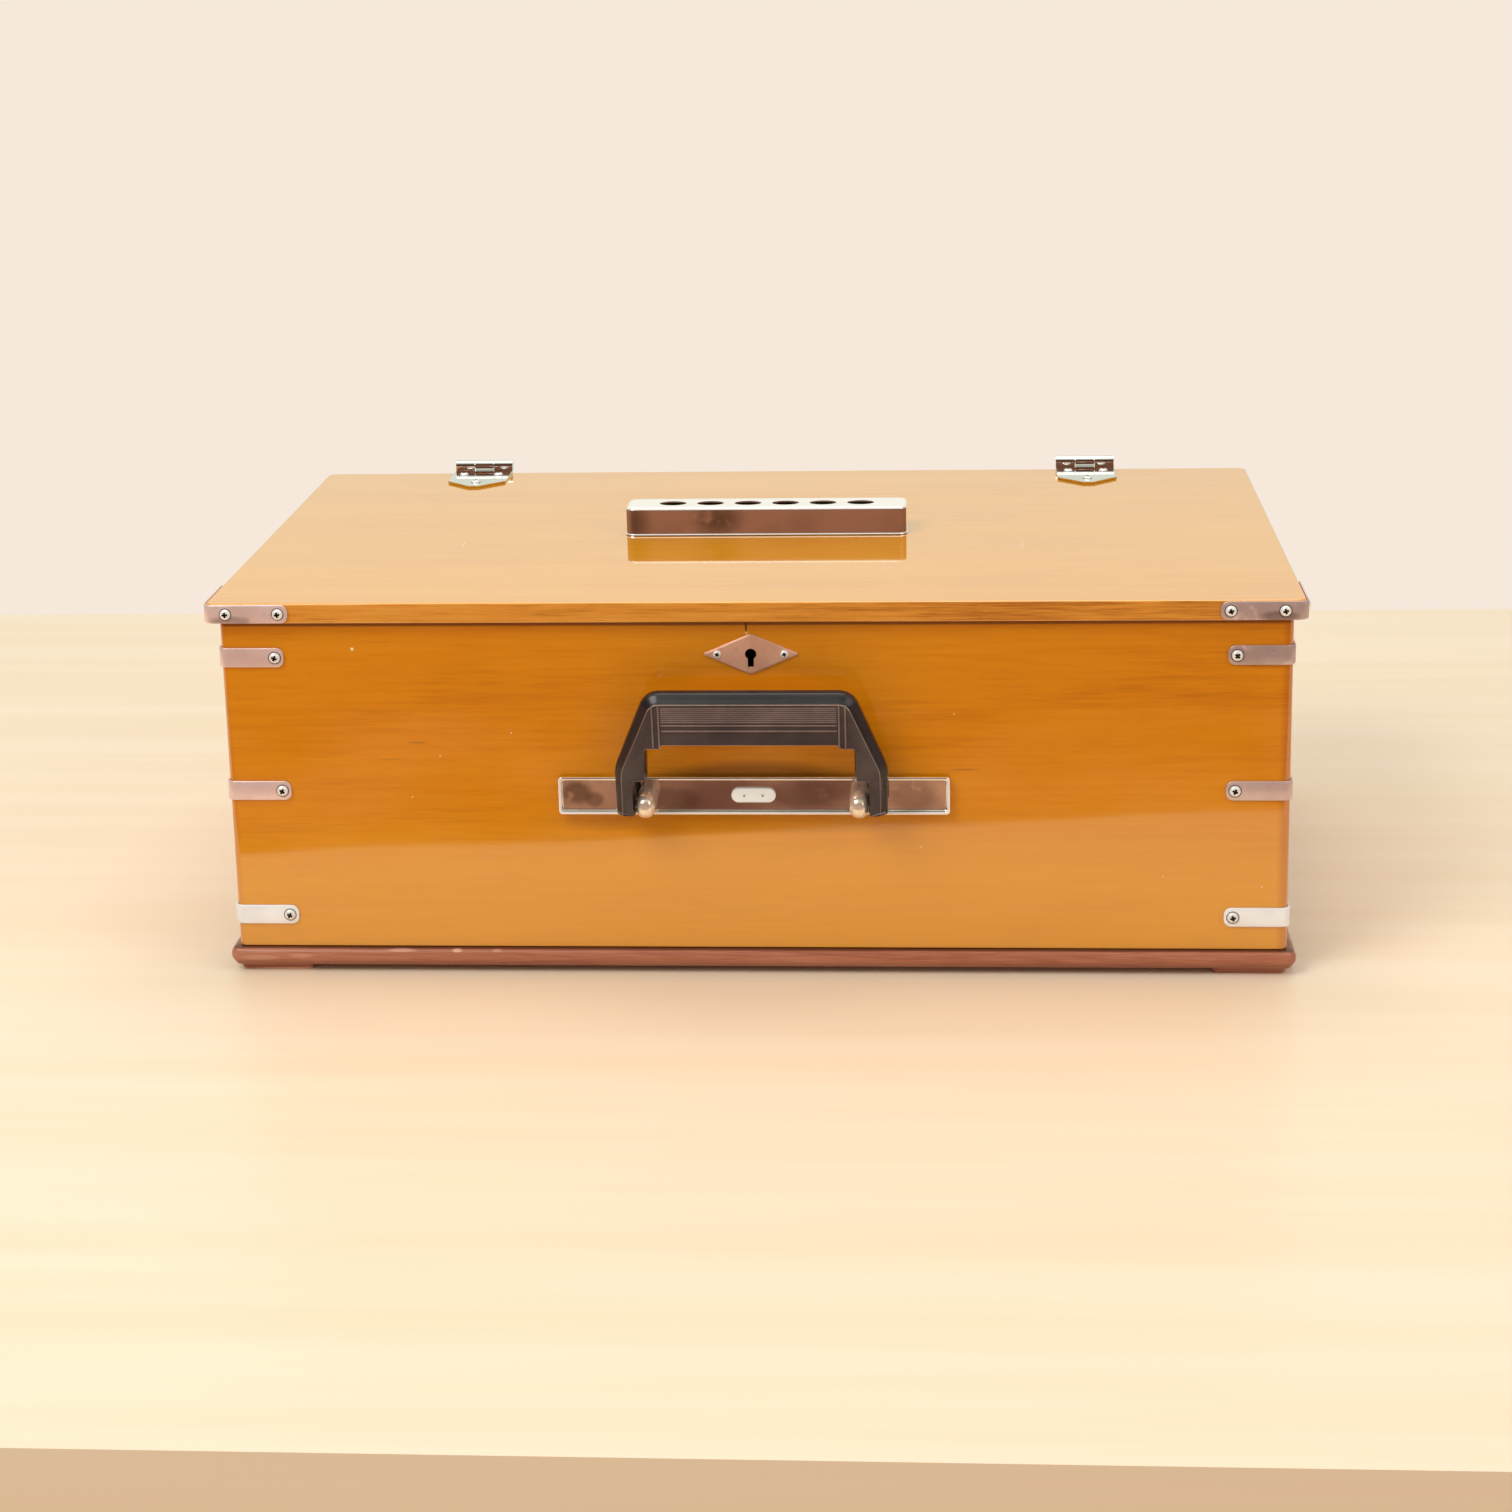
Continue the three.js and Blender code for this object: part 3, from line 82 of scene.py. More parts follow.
lens = bpy.data.cameras.new("camera")
lens.lens, lens.sensor_width, lens.shift_y = 68.801, 36, -0.15
lens.clip_start, lens.clip_end = 0.05, 50
camera = in_scene("camera", lens, (0.1102, -1.6968, 0.6280))
camera.rotation_euler = [math.radians(a) for a in (76.592, 1.198, 3.640)]
bpy.context.scene.camera = camera
print("camera", tuple(round(v, 3) for v in camera.location))

# %% [markdown]
# Node trees as arithmetic
#
# A shader is a small calculation that runs at every point of a surface. Drawn as nodes it is
# slow to read, so two short classes let the same calculation be written as Python: a Wire is
# one output of a node, and adding or multiplying wires adds Math nodes to the tree. Every
# other kind of node comes from one method, which sets the node's options first and its
# sockets after them.

# %% Wires and trees
class Wire:
    """One output socket. Sums, differences and products of wires become Math nodes."""

    def __init__(self, tree, socket):
        self.tree, self.socket = tree, socket

    def worked_out(self, operation, left, right):
        return self.tree.node("ShaderNodeMath", {"operation": operation}, {0: left, 1: right})

    def __add__(self, other):
        return self.worked_out("ADD", self, other)

    def __mul__(self, other):
        return self.worked_out("MULTIPLY", self, other)

    def __sub__(self, other):
        return self.worked_out("SUBTRACT", self, other)

    def __rsub__(self, other):
        return self.worked_out("SUBTRACT", other, self)

    __radd__, __rmul__ = __add__, __mul__


class Tree:
    """A node tree that is written rather than drawn."""

    def __init__(self, node_tree):
        self.made = node_tree

    def node(self, kind, settings=None, inputs=None, output=0):
        new = self.made.nodes.new(kind)
        for name, value in (settings or {}).items():
            if name == "stops":
                ramp = new.color_ramp
                ramp.elements.remove(ramp.elements[1])
                ramp.elements[0].position, ramp.elements[0].color = value[0]
                for place, colour in value[1:]:
                    ramp.elements.new(place).color = colour
            else:
                setattr(new, name, value)
        for key, value in (inputs or {}).items():
            if isinstance(value, Wire):
                self.made.links.new(value.socket, new.inputs[key])
            else:
                new.inputs[key].default_value = value
        return Wire(self, new.outputs[output]) if new.outputs else None

    def step(self, value, low, high):
        """0 at low, 1 at high, and a smooth change between them."""
        smooth = {"interpolation_type": "SMOOTHSTEP"}
        return self.node("ShaderNodeMapRange", smooth, {0: value, 1: low, 2: high})

    def mix(self, share, one, two):
        """Colour one where the share is 0, colour two where it is 1."""
        values = {0: share, 6: one, 7: two}
        return self.node("ShaderNodeMix", {"data_type": "RGBA"}, values, output=2)

    def axes(self, vector):
        """The X, Y and Z of a vector, as three wires."""
        split = self.node("ShaderNodeSeparateXYZ", inputs={0: vector}).socket.node
        return [Wire(self, socket) for socket in split.outputs]


# %% [markdown]
# A finish
#
# Every surface here is one Principled shader. What is the same all over it, such as how
# metallic it is, is set straight on the shader. What changes over it, such as grain or wear,
# is a wire into the colour, the roughness or the normal. All patterns read the object's own
# coordinates in metres, so a grain line that is written as half a millimetre is half a
# millimetre on the wood.

# %% Finishes
class Finish(Tree):
    """A material with one Principled shader, and the few patterns that the finishes share.
    along is the axis of its grain: 0 for X, 1 for Y."""

    def __init__(self, name, along=0, **constants):
        self.material = bpy.data.materials.new(name)
        self.material.use_nodes = True
        super().__init__(self.material.node_tree)
        self.along = along
        self.shader = self.made.nodes["Principled BSDF"]
        for socket, value in constants.items():
            self.shader.inputs[socket.replace("_", " ")].default_value = value
        self.spot = self.node("ShaderNodeTexCoord", output="Object")

    def feed(self, socket, wire):
        self.made.links.new(wire.socket, self.shader.inputs[socket])

    def stretched(self, scale, offset=(0.0, 0.0, 0.0)):
        """The place on the object with each axis scaled: a small factor gives a long streak."""
        values = {"Vector": self.spot, "Scale": scale, "Location": offset}
        return self.node("ShaderNodeMapping", inputs=values)

    def noise(self, scale, place=None, detail=2.0, rough=0.5, bend=0.0):
        """Soft random patches between 0 and 1. scale is in patches to the metre."""
        values = {"Scale": scale, "Detail": detail, "Roughness": rough, "Distortion": bend}
        return self.node("ShaderNodeTexNoise", inputs={"Vector": place or self.spot, **values})

    def streaks(self, length, width, offset=(0.0, 0.0, 0.0), **how):
        """Noise drawn out along the grain, in streaks of a length and a width in metres."""
        scale = [1 / width] * 3
        scale[self.along] = 1 / length
        return self.noise(1.0, self.stretched(scale, offset), **how)

    def patch(self, middle, half):
        """1 inside a soft-edged oval, 0 outside. Middle and half sizes in millimetres."""
        scale = [1 / (size * MM) for size in half]
        offset = [-place / size for place, size in zip(middle, half)]
        place = self.stretched(scale, offset)
        near = self.node("ShaderNodeVectorMath", {"operation": "LENGTH"}, {0: place}, "Value")
        return 1.0 - self.step(near, 0.45, 1.0)

    def marked(self, colour, marks):
        """The colour with marks of another tone on it, such as a scratch, a painted shadow or a
        patch of painted light. A mark is (middle, half size, strength, colour), in millimetres."""
        for middle, half, strength, tint in marks:
            colour = self.mix(self.patch(middle, half) * strength, colour, tint)
        return colour

    def emboss(self, height, millimetres):
        """Raises and sinks the surface by the pattern, through the normal."""
        values = {"Height": height, "Distance": millimetres * MM}
        self.feed("Normal", self.node("ShaderNodeBump", inputs=values))

    def done(self):
        print("finish", self.material.name)
        return self.material


# %% Colours
def rgb(red, green, blue):
    """A colour as it reads in a picture, 0 to 255, turned into the light it stands for."""
    def linear(v):
        v /= 255
        return v / 12.92 if v <= 0.04045 else ((v + 0.055) / 1.055) ** 2.4
    return (linear(red), linear(green), linear(blue), 1.0)


# %% [markdown]
# Lacquered veneer
#
# The case is faced with a plain straight-grained veneer, stained honey amber and then
# lacquered until it is as smooth as glass. The look has three layers. Broad bands change the
# tone over a hand's breadth, grain lines half a millimetre wide run the length of the board,
# and short dark pores lie along them. The grain is drawn by stretching a noise pattern along
# the board. Noise suits it better than the Wave node, whose evenly spaced lines look printed.
# The lacquer is the shader's coat over a base that is almost as smooth. A rough base would
# spread a pale haze over the board at a low angle, and its reflections would lose their edges.

# %% Lacquered veneer
LACQUER = 1.6  # how strongly the lacquer bends light


def lacquered_veneer(name, along, body, dark, pale, contrast=1.0, marks=()):
    wood = Finish(
        name, along, IOR=LACQUER, Coat_Weight=1.0, Coat_IOR=LACQUER, Coat_Roughness=0.02
    )
    bands = wood.streaks(0.42, 0.030, (3.1, 1.7, 0.4), bend=0.3)
    clouds = wood.streaks(0.12, 0.070, (9.0, 2.0, 6.0))
    lines = wood.streaks(0.050, 0.0022, (0.0, 5.0, 2.0), detail=4.0, rough=0.6)
    fibre = wood.streaks(0.018, 0.00055, (7.0, 1.0, 3.0))
    flecks = wood.streaks(0.011, 0.0012, (2.0, 8.0, 4.0))
    smudge = wood.streaks(0.034, 0.008, (4.0, 3.0, 8.0))
    tone = 0.5 + contrast * (
        0.42 * (bands - 0.5) + 0.25 * (clouds - 0.5) + 0.5 * (lines - 0.5) + 0.28 * (fibre - 0.5)
    )
    stops = [(0.22, dark), (0.5, body), (0.80, pale)]
    ground = wood.node("ShaderNodeValToRGB", {"stops": stops}, {0: tone})
    fleck = wood.step(flecks, 0.64, 0.78) * wood.step(clouds, 0.35, 0.6)
    shade = 0.38 * contrast * fleck + 0.22 * contrast * wood.step(smudge, 0.66, 0.84)
    wood.feed("Base Color", wood.marked(wood.mix(shade, ground, dark), marks))
    wood.feed("Roughness", 0.06 + 0.05 * (clouds - 0.4) + 0.05 * fleck)
    wood.emboss(wood.streaks(0.4, 0.12, (1.0, 4.0, 2.0), detail=0.0), 0.4)
    return wood.done()


amber = dict(body=rgb(218, 132, 8), dark=rgb(184, 98, 4), pale=rgb(228, 148, 24))
veneer_long = lacquered_veneer("lacquered_veneer_long", 0, **amber)
veneer_deep = lacquered_veneer("lacquered_veneer_deep", 1, **amber)
lid_lipping = lacquered_veneer(
    "lid_lipping", 0, rgb(222, 144, 50), rgb(150, 76, 14), rgb(236, 166, 76), contrast=1.25
)

# %% Marks, painted light and painted shade on the front and the lid
# Of these tones the dark brown serves both small dark marks and painted shadows, and the first and
# the last of the second line are painted light.
bruise_and_painted_shade, bare_wood = rgb(70, 30, 10), rgb(250, 226, 190)
painted_lower_light, deep_stain, painted_light_above_handle = rgb(232, 160, 26), rgb(170, 72, 6), rgb(254, 148, 20)
scuffs_and_painted_light = [  # x, z, half width, half height, strength, colour
    # Painted light: the lower part of the front is lighter.
    (0, 10, 900, 105, 0.65, painted_lower_light),
    # Painted shadow: a dark line under the lid's overhang.
    (0, 206.9, 900, 2.6, 0.75, bruise_and_painted_shade),
    # Painted shadow under the handle tray.
    (0, 90.5, 150, 9, 0.20, bruise_and_painted_shade),
    (299, 110, 8, 260, 0.40, deep_stain),
    (-299, 90, 5, 200, 0.25, deep_stain),
    # Painted shade in the handle's opening.
    (0, 117, 62, 12, 0.5, bruise_and_painted_shade),
    (-2.4, 204.2, 0.8, 4.0, 0.9, bruise_and_painted_shade),
    (-2.2, 200.6, 0.9, 0.9, 0.7, bare_wood),
    # Painted light above the handle, where the handle shades the board.
    (0, 167, 72, 16, 0.8, painted_light_above_handle),
    (-205, 127, 9, 0.7, 0.2, bruise_and_painted_shade),
    (-190, 137, 7, 1.1, 0.25, bruise_and_painted_shade),
    (118, 121, 11, 0.8, 0.3, bruise_and_painted_shade),
    (-60, 149, 8, 0.8, 0.3, bruise_and_painted_shade),
    (-224, 191.9, 1.2, 1.2, 0.95, bare_wood),
]
nicks = [(-177, 129), (-194, 104.7), (-136, 142.6), (112.5, 153.4), (93.6, 75.3), (229, 58)]
nicks += [(284, 52)]
scuffs_and_painted_light += [(x, z, 0.6, 0.6, 0.8, bare_wood) for x, z in nicks]
FRONT_Y, DEPTH = -155, 9  # the front board's face, and how deep a mark reaches into it
front_marks = [
    ((x, FRONT_Y, z), (wide, DEPTH, high), strength, tint)
    for x, z, wide, high, strength, tint in scuffs_and_painted_light
]
front_veneer = lacquered_veneer(
    "front_veneer", 0, **amber, contrast=0.85, marks=front_marks
)
lid_marks = [
    ((-181, -24, 220), (0.6, 9, 9), 0.7, bare_wood),
    ((153.4, -32, 220), (0.6, 10, 9), 0.6, bare_wood),
]
lid_tones = rgb(246, 166, 24), rgb(222, 136, 12), rgb(252, 182, 40)
lid_veneer = lacquered_veneer("lid_veneer", 0, *lid_tones, contrast=0.7, marks=lid_marks)

# %% [markdown]
# Stained moulding and plain inner wood
#
# The skirting under the case is stained a dark red brown and carries less lacquer, so it is
# duller, and its upper edges have rubbed paler. Towards its foot it is painted darker as shade,
# and one foot has a painted highlight along its lower edge. Inside, the frame, the reed board and
# the chest are plain sanded boards: pale, matt, and marked only by their fibre.

# %% Other woods
def plain_wood(name, along, body, dark, pale, rough, relief, marks=()):
    wood = Finish(name, along, IOR=1.45)
    rings = wood.streaks(0.22, 0.012, (1.0, 2.0, 3.0), detail=4.0, bend=0.5)
    fibre = wood.streaks(0.02, 0.0006, (5.0, 1.0, 2.0))
    tone = 0.5 + 0.9 * (rings - 0.5) + 0.6 * (fibre - 0.5)
    stops = [(0.2, dark), (0.5, body), (0.82, pale)]
    ground = wood.node("ShaderNodeValToRGB", {"stops": stops}, {0: tone})
    wood.feed("Base Color", wood.marked(ground, marks))
    wood.feed("Roughness", rough + 0.12 * (fibre - 0.5))
    wood.emboss(fibre, relief)
    return wood.done()


skirt_marks = [
    # Painted shade: the skirting is darker towards its foot.
    ((0, -163, 1.5), (900, 14, 8), 0.45, rgb(104, 50, 34)),
    ((0, -155, 14.6), (900, 5, 1.2), 0.80, rgb(70, 30, 20)),
    ((-204, -160, 13.6), (11, 6, 1.2), 0.5, rgb(226, 178, 150)),
    ((-172, -160, 13.6), (4, 6, 1.2), 0.6, rgb(240, 200, 172)),
    ((-149, -160, 13.6), (4, 6, 1.0), 0.4, rgb(226, 178, 150)),
    ((-286, -160, 9.5), (14, 9, 2.2), 0.6, rgb(204, 150, 124)),
    ((-262, -160, 10.5), (9, 9, 1.6), 0.6, rgb(204, 150, 124)),
    # A painted highlight: a pale line along the left foot's lower edge.
    ((-262, -160, 0.4), (46, 20, 1.1), 0.8, rgb(236, 190, 156)),
]
skirt_tones = rgb(172, 104, 76), rgb(120, 62, 42), rgb(198, 134, 106)
skirt_stain = plain_wood("skirt_stain", 0, *skirt_tones, 0.32, 0.05, skirt_marks)
sanded_board = plain_wood(
    "sanded_board", 0, rgb(205, 168, 116), rgb(176, 134, 84), rgb(222, 192, 146), 0.62, 0.08
)
# Painted shade: the dark wood that lines the keyhole's bore.
dark_bore = plain_wood(
    "dark_bore", 1, rgb(44, 24, 14), rgb(20, 10, 6), rgb(66, 38, 22), 0.7, 0.05
)
key_limewood = plain_wood(
    "key_limewood", 1, rgb(216, 186, 138), rgb(190, 154, 104), rgb(230, 206, 164), 0.6, 0.06
)

# %% [markdown]
# Metals
#
# Steel that has been rubbed along its length keeps fine scratches, which spread its
# reflections. Chrome is the opposite: it is nearly a mirror, and shows only faint wiping marks.
# Brass is brighter where hands polish it and browner where they don't. A fully metallic finish
# has only the colour of what it reflects. The straps and plates have to keep a tone of their
# own beside the bright wall, so they are only partly metallic.

# %% Metals
# Dark blotches on metal; on the tray and the cover's front they are painted reflections.
dark_blotch_and_painted_reflection = rgb(96, 72, 60)


def rubbed_metal(
    name, colour, tarnish, rough, scratch, relief=0.01, spots=0.0, metallic=1.0, marks=()
):
    """marks are blotches as (middle, half size, strength), in millimetres. On the tray and the
    cover's front they are painted dark reflections.
    """
    metal = Finish(name, Metallic=metallic)
    scratches = metal.streaks(1 / 22, 1 / 900, detail=3.0, rough=0.6)
    clouds = metal.noise(55.0, detail=3.0)
    stain = metal.step(metal.noise(190.0), 0.58, 0.74) * spots
    tone = metal.mix(stain + 0.5 * metal.step(clouds, 0.42, 0.72), colour, tarnish)
    ragged = metal.step(metal.noise(120.0, bend=0.4), 0.24, 0.44)
    for middle, half, strength in marks:
        tone = metal.mix(metal.patch(middle, half) * ragged * strength, tone, dark_blotch_and_painted_reflection)
    metal.feed("Base Color", tone)
    uneven = scratch * (scratches - 0.5) + 0.10 * (clouds - 0.5) + 0.15 * stain
    metal.feed("Roughness", rough + uneven)
    metal.emboss(scratches, relief)
    return metal.done()


chrome = rubbed_metal("chrome", rgb(252, 250, 248), rgb(232, 226, 221), 0.05, 0.05, relief=0.004)
# Painted reflection: the bottom straps are near white and barely metallic, standing in for the pale
# table they mirror.
bright_steel = rubbed_metal(
    "bright_steel", rgb(250, 250, 252), rgb(228, 228, 234), 0.34, 0.16,
    relief=0.02, spots=0.15, metallic=0.12,
)
copper_steel = rubbed_metal(
    "copper_steel", rgb(236, 184, 154), rgb(204, 144, 116), 0.36, 0.18,
    relief=0.02, spots=0.4, metallic=0.3,
)
screw_steel = rubbed_metal(
    "screw_steel", rgb(250, 248, 246), rgb(226, 220, 214), 0.3, 0.15, metallic=0.25
)
lug_metal = rubbed_metal(
    "lug_metal", rgb(248, 230, 208), rgb(228, 204, 180), 0.2, 0.06, metallic=0.6
)
# Painted highlight: a near-white, part-metallic chrome for the tray's rim and the cover's upward
# faces.
polished_rim = rubbed_metal(
    "polished_rim", rgb(255, 251, 246), rgb(250, 244, 238), 0.12, 0.06, metallic=0.3
)
# The blank plate is chrome painted plain white and not metallic: a painted reflection.
white_plate = rubbed_metal(
    "white_plate", rgb(252, 255, 255), rgb(246, 246, 246), 0.25, 0.1, metallic=0.0
)
# Painted shade for the screw heads' driver recess and the ring round each head.
screw_recess = rubbed_metal("screw_recess", rgb(70, 60, 56), rgb(40, 34, 32), 0.5, 0.2)
# Painted shade for the middle of the lock's face, seen through the keyhole.
dull_iron = rubbed_metal(
    "dull_iron", rgb(74, 66, 60), rgb(44, 36, 32), 0.5, 0.2, relief=0.03, spots=0.5
)
brass = rubbed_metal(
    "brass", rgb(214, 168, 84), rgb(150, 104, 46), 0.26, 0.18, relief=0.02, spots=0.5
)
spring_steel = rubbed_metal("spring_steel", rgb(128, 126, 126), rgb(74, 66, 60), 0.34, 0.2)

# %% Metals with blotches, some of them painted reflections
satin_steel = rubbed_metal(
    "satin_steel", rgb(240, 211, 205), rgb(218, 182, 174), 0.32, 0.20,
    relief=0.02, spots=0.25, metallic=0.4,
    marks=[
        ((284, -158, 187), (44, 20, 12), 0.45), ((284, -163, 214), (52, 20, 12), 0.4),
        ((286, -158, 108), (44, 20, 12), 0.25), ((-290, -163, 210), (16, 9, 4), 0.5),
        ((290, -163, 211), (14, 9, 4), 0.6),
    ],
)
tray_chrome = rubbed_metal(
    "tray_chrome", rgb(250, 246, 242), rgb(214, 204, 196), 0.06, 0.06, relief=0.004, spots=0.2,
    # Painted reflections: dark blotches on the tray's face.
    marks=[
        ((-100, -157, 108), (11, 9, 9), 0.6), ((-90, -157, 104), (7, 9, 6), 0.5),
        ((-72, -157, 108), (5, 9, 5), 0.3), ((-46, -157, 104), (22, 9, 9), 0.35),
        ((26, -157, 107), (30, 9, 10), 0.3), ((88, -157, 106), (20, 9, 12), 0.4),
    ],
)
# The cover's front wall is chrome; this brown, part-metallic finish is its painted reflection of
# the lid.
cover_front = rubbed_metal(
    "cover_front", rgb(158, 120, 104), rgb(140, 104, 90), 0.16, 0.06,
    relief=0.004, metallic=0.3,
    # Painted reflection: dark blotches on the cover's front.
    marks=[((-29, -6, 230), (24, 3, 16), 1.0), ((-82, -6, 228), (19, 3, 22), 1.0)],
)

# %% [markdown]
# Moulded plastic
#
# The handle is one black moulding with a fine, slightly mottled skin from its mould. The key
# plates are polished pale plastic that has yellowed a little. Both need a change in
# roughness more than a change in colour, because that is what a fingertip's wear leaves.

# %% Plastics
def moulded_plastic(name, colour, worn, rough, skin, grain_scale=1400.0):
    plastic = Finish(name, IOR=1.49)
    mottle = plastic.noise(38.0, detail=4.0)
    pitting = plastic.noise(grain_scale)
    plastic.feed("Base Color", plastic.mix(plastic.step(mottle, 0.35, 0.75), colour, worn))
    plastic.feed("Roughness", rough + 0.16 * (mottle - 0.5) + 0.08 * (pitting - 0.5))
    plastic.emboss(pitting, skin)
    return plastic.done()


handle_black = moulded_plastic("handle_black", rgb(62, 50, 49), rgb(80, 66, 63), 0.42, 0.03)
# Painted shade and highlights on one moulding: the bevels' darker plastic is painted shade, and the
# bead's two lighter plastics are painted highlights.
handle_edge = moulded_plastic("handle_edge", rgb(29, 24, 29), rgb(42, 36, 41), 0.30, 0.02)
handle_worn = moulded_plastic("handle_worn", rgb(112, 92, 88), rgb(136, 114, 108), 0.36, 0.02)
handle_rubbed = moulded_plastic(
    "handle_rubbed", rgb(148, 124, 112), rgb(172, 146, 132), 0.34, 0.02
)
key_black = moulded_plastic("key_black", rgb(20, 19, 20), rgb(30, 28, 28), 0.16, 0.004, 900.0)
key_white = moulded_plastic(
    "key_white", rgb(238, 232, 214), rgb(229, 219, 194), 0.20, 0.004, 700.0
)
stop_black = moulded_plastic("stop_black", rgb(26, 24, 25), rgb(40, 37, 36), 0.22, 0.006, 900.0)

# %% [markdown]
# Cloth and leather
#
# The folds are card covered with bookbinding cloth, whose weave is a quarter of a millimetre.
# A weave is two sets of threads that cross, so it is the larger of two sine waves at every
# point. The valve flap is thin sheepskin: soft patches of tone, and a fine pebbled relief.

# %% Cloth and leather
def folded_cloth(name, colour, worn, thread=0.26):
    cloth = Finish(name, Roughness=0.82, IOR=1.4)
    turns = 2 * math.pi / (thread * MM)

    def threads(place):
        return cloth.node("ShaderNodeMath", {"operation": "SINE"}, {0: place * turns}) * 0.5 + 0.5

    across, _, up = cloth.axes(cloth.spot)
    crossing = {0: threads(across), 1: threads(up)}
    weave = cloth.node("ShaderNodeMath", {"operation": "MAXIMUM"}, crossing)
    fade = cloth.step(cloth.noise(26.0, detail=3.0), 0.35, 0.75)
    cloth.feed("Base Color", cloth.mix(0.35 * weave + 0.5 * fade, colour, worn))
    cloth.emboss(weave, 0.05)
    return cloth.done()


def sheepskin(name, colour, dark):
    skin = Finish(name, Roughness=0.78, IOR=1.4)
    patches = skin.noise(40.0, detail=4.0)
    pebbles = {"feature": "DISTANCE_TO_EDGE"}
    cells = skin.node("ShaderNodeTexVoronoi", pebbles, {"Scale": 1100.0})
    skin.feed("Base Color", skin.mix(skin.step(patches, 0.35, 0.7), colour, dark))
    skin.emboss(cells, 0.06)
    return skin.done()


bellows_cloth = folded_cloth("bellows_cloth", rgb(98, 22, 26), rgb(134, 44, 42))
black_gauze = folded_cloth("black_gauze", rgb(16, 14, 14), rgb(30, 26, 24), thread=0.6)
flap_leather = sheepskin("flap_leather", rgb(206, 172, 128), rgb(178, 140, 96))

# %% [markdown]
# From points and faces to a piece
#
# A piece starts as a list of corners in millimetres and a list of faces. Many pieces are rings
# of corners, each joined to the next. Corners that meet are merged and the faces are turned
# outwards, so that a lid isn't shaded inside out. Curved parts are then shaded smooth, and any
# edge that is sharper than a given angle stays crisp.

# %% Corners and faces
def between(rings):
    """A wall of faces from ring to ring, as (corners, faces)."""
    count = len(rings[0])
    faces = [
        [low + i, low + (i + 1) % count, low + count + (i + 1) % count, low + count + i]
        for low in range(0, count * (len(rings) - 1), count)
        for i in range(count)
    ]
    return [corner for ring in rings for corner in ring], faces


def tube(rings):
    """The same wall, closed by a face over its first ring and one over its last."""
    corners, faces = between(rings)
    every, count = list(range(len(corners))), len(rings[0])
    return corners, faces + [every[:count][::-1], every[-count:]]


def bare_mesh(name, corners, faces=(), unit=MM):
    mesh = bpy.data.meshes.new(name)
    mesh.from_pydata([Vector(corner) * unit for corner in corners], [], faces)
    return mesh


def smooth_faces(mesh, crease):
    mesh.shade_smooth()
    mesh.set_sharp_from_angle(angle=math.radians(crease))


# %% Making a piece
def made_of(name, corners, faces, finish, crease=32, place=None):
    """A piece from corners in millimetres. place moves them into the frame."""
    mesh = bare_mesh(name, corners, faces)
    shape = bmesh.new()
    shape.from_mesh(mesh)
    bmesh.ops.remove_doubles(shape, verts=shape.verts, dist=1e-6)
    if place is not None:
        bmesh.ops.transform(shape, matrix=place, verts=shape.verts)
    bmesh.ops.recalc_face_normals(shape, faces=shape.faces)
    shape.to_mesh(mesh)
    shape.free()
    mesh.materials.append(finish)
    smooth_faces(mesh, crease)
    return in_scene(name, mesh)


def modifiers_applied(piece):
    """Turns the piece and its modifiers into one plain mesh."""
    graph = bpy.context.evaluated_depsgraph_get()
    mesh = bpy.data.meshes.new_from_object(piece.evaluated_get(graph))
    piece.modifiers.clear()
    piece.data = mesh
    return piece


def even_normals(piece):
    """Keeps wide flat faces flat where a small round beside them would bend their light."""
    even = piece.modifiers.new("even normals", "WEIGHTED_NORMAL")
    even.mode, even.weight, even.keep_sharp = "FACE_AREA", 60, True
    return modifiers_applied(piece)


def settled(piece, body, slot, *nodes):
    """Fixes a finished piece to its body, and hides the solids of the frame that it stands for."""
    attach(piece, body)
    if nodes:
        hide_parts(*nodes)
    print(f"{piece.name}: {len(piece.data.polygons)} faces, rides on {body}")
    return piece


# %% [markdown]
# Working the edges
#
# No board leaves a workshop with a knife-sharp edge: it is eased with a stroke of the plane
# or of glasspaper, and that thin round is what catches the light in a photograph. The solids
# of the frame have the right shapes but sharp edges. A worked copy merges their loose
# triangles, joins those that lie in one plane, and gives every edge a bevel a fraction of a
# millimetre wide. This keeps the sizes exact, which drawing each board again wouldn't.

# %% Worked copies of the frame's solids
def worked_copy(node, finish, ease=0.4, steps=2, angle=30, crease=35):
    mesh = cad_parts[node].data.copy()
    mesh.materials.clear()
    shape = bmesh.new()
    shape.from_mesh(mesh)
    bmesh.ops.remove_doubles(shape, verts=shape.verts, dist=2e-6)
    one_plane = math.radians(0.6)
    bmesh.ops.dissolve_limit(shape, angle_limit=one_plane, verts=shape.verts, edges=shape.edges)
    shape.to_mesh(mesh)
    shape.free()
    mesh.materials.append(finish)
    piece = in_scene(node + "_worked", mesh)
    bevel = piece.modifiers.new("eased edges", "BEVEL")
    bevel.width, bevel.segments = ease * MM, steps
    bevel.limit_method, bevel.angle_limit = "ANGLE", math.radians(angle)
    bevel.use_clamp_overlap, bevel.miter_outer = True, "MITER_ARC"
    modifiers_applied(piece)
    smooth_faces(piece.data, crease)
    return even_normals(piece)


def face_finishes(piece, finishes, choose):
    """Gives each face one of several finishes. choose gets a face's middle in millimetres and
    its direction, and returns a place in the list."""
    piece.data.materials.clear()
    for finish in finishes:
        piece.data.materials.append(finish)
    for face in piece.data.polygons:
        face.material_index = int(choose(face.center / MM, face.normal))
    return piece


def worked(node, body, slot, *finishes, choose=None, **edges):
    """A worked copy that stands for its solid. choose is for a piece of several finishes."""
    piece = worked_copy(node, finishes[0], **edges)
    if choose:
        face_finishes(piece, finishes, choose)
    return settled(piece, body, slot, node)


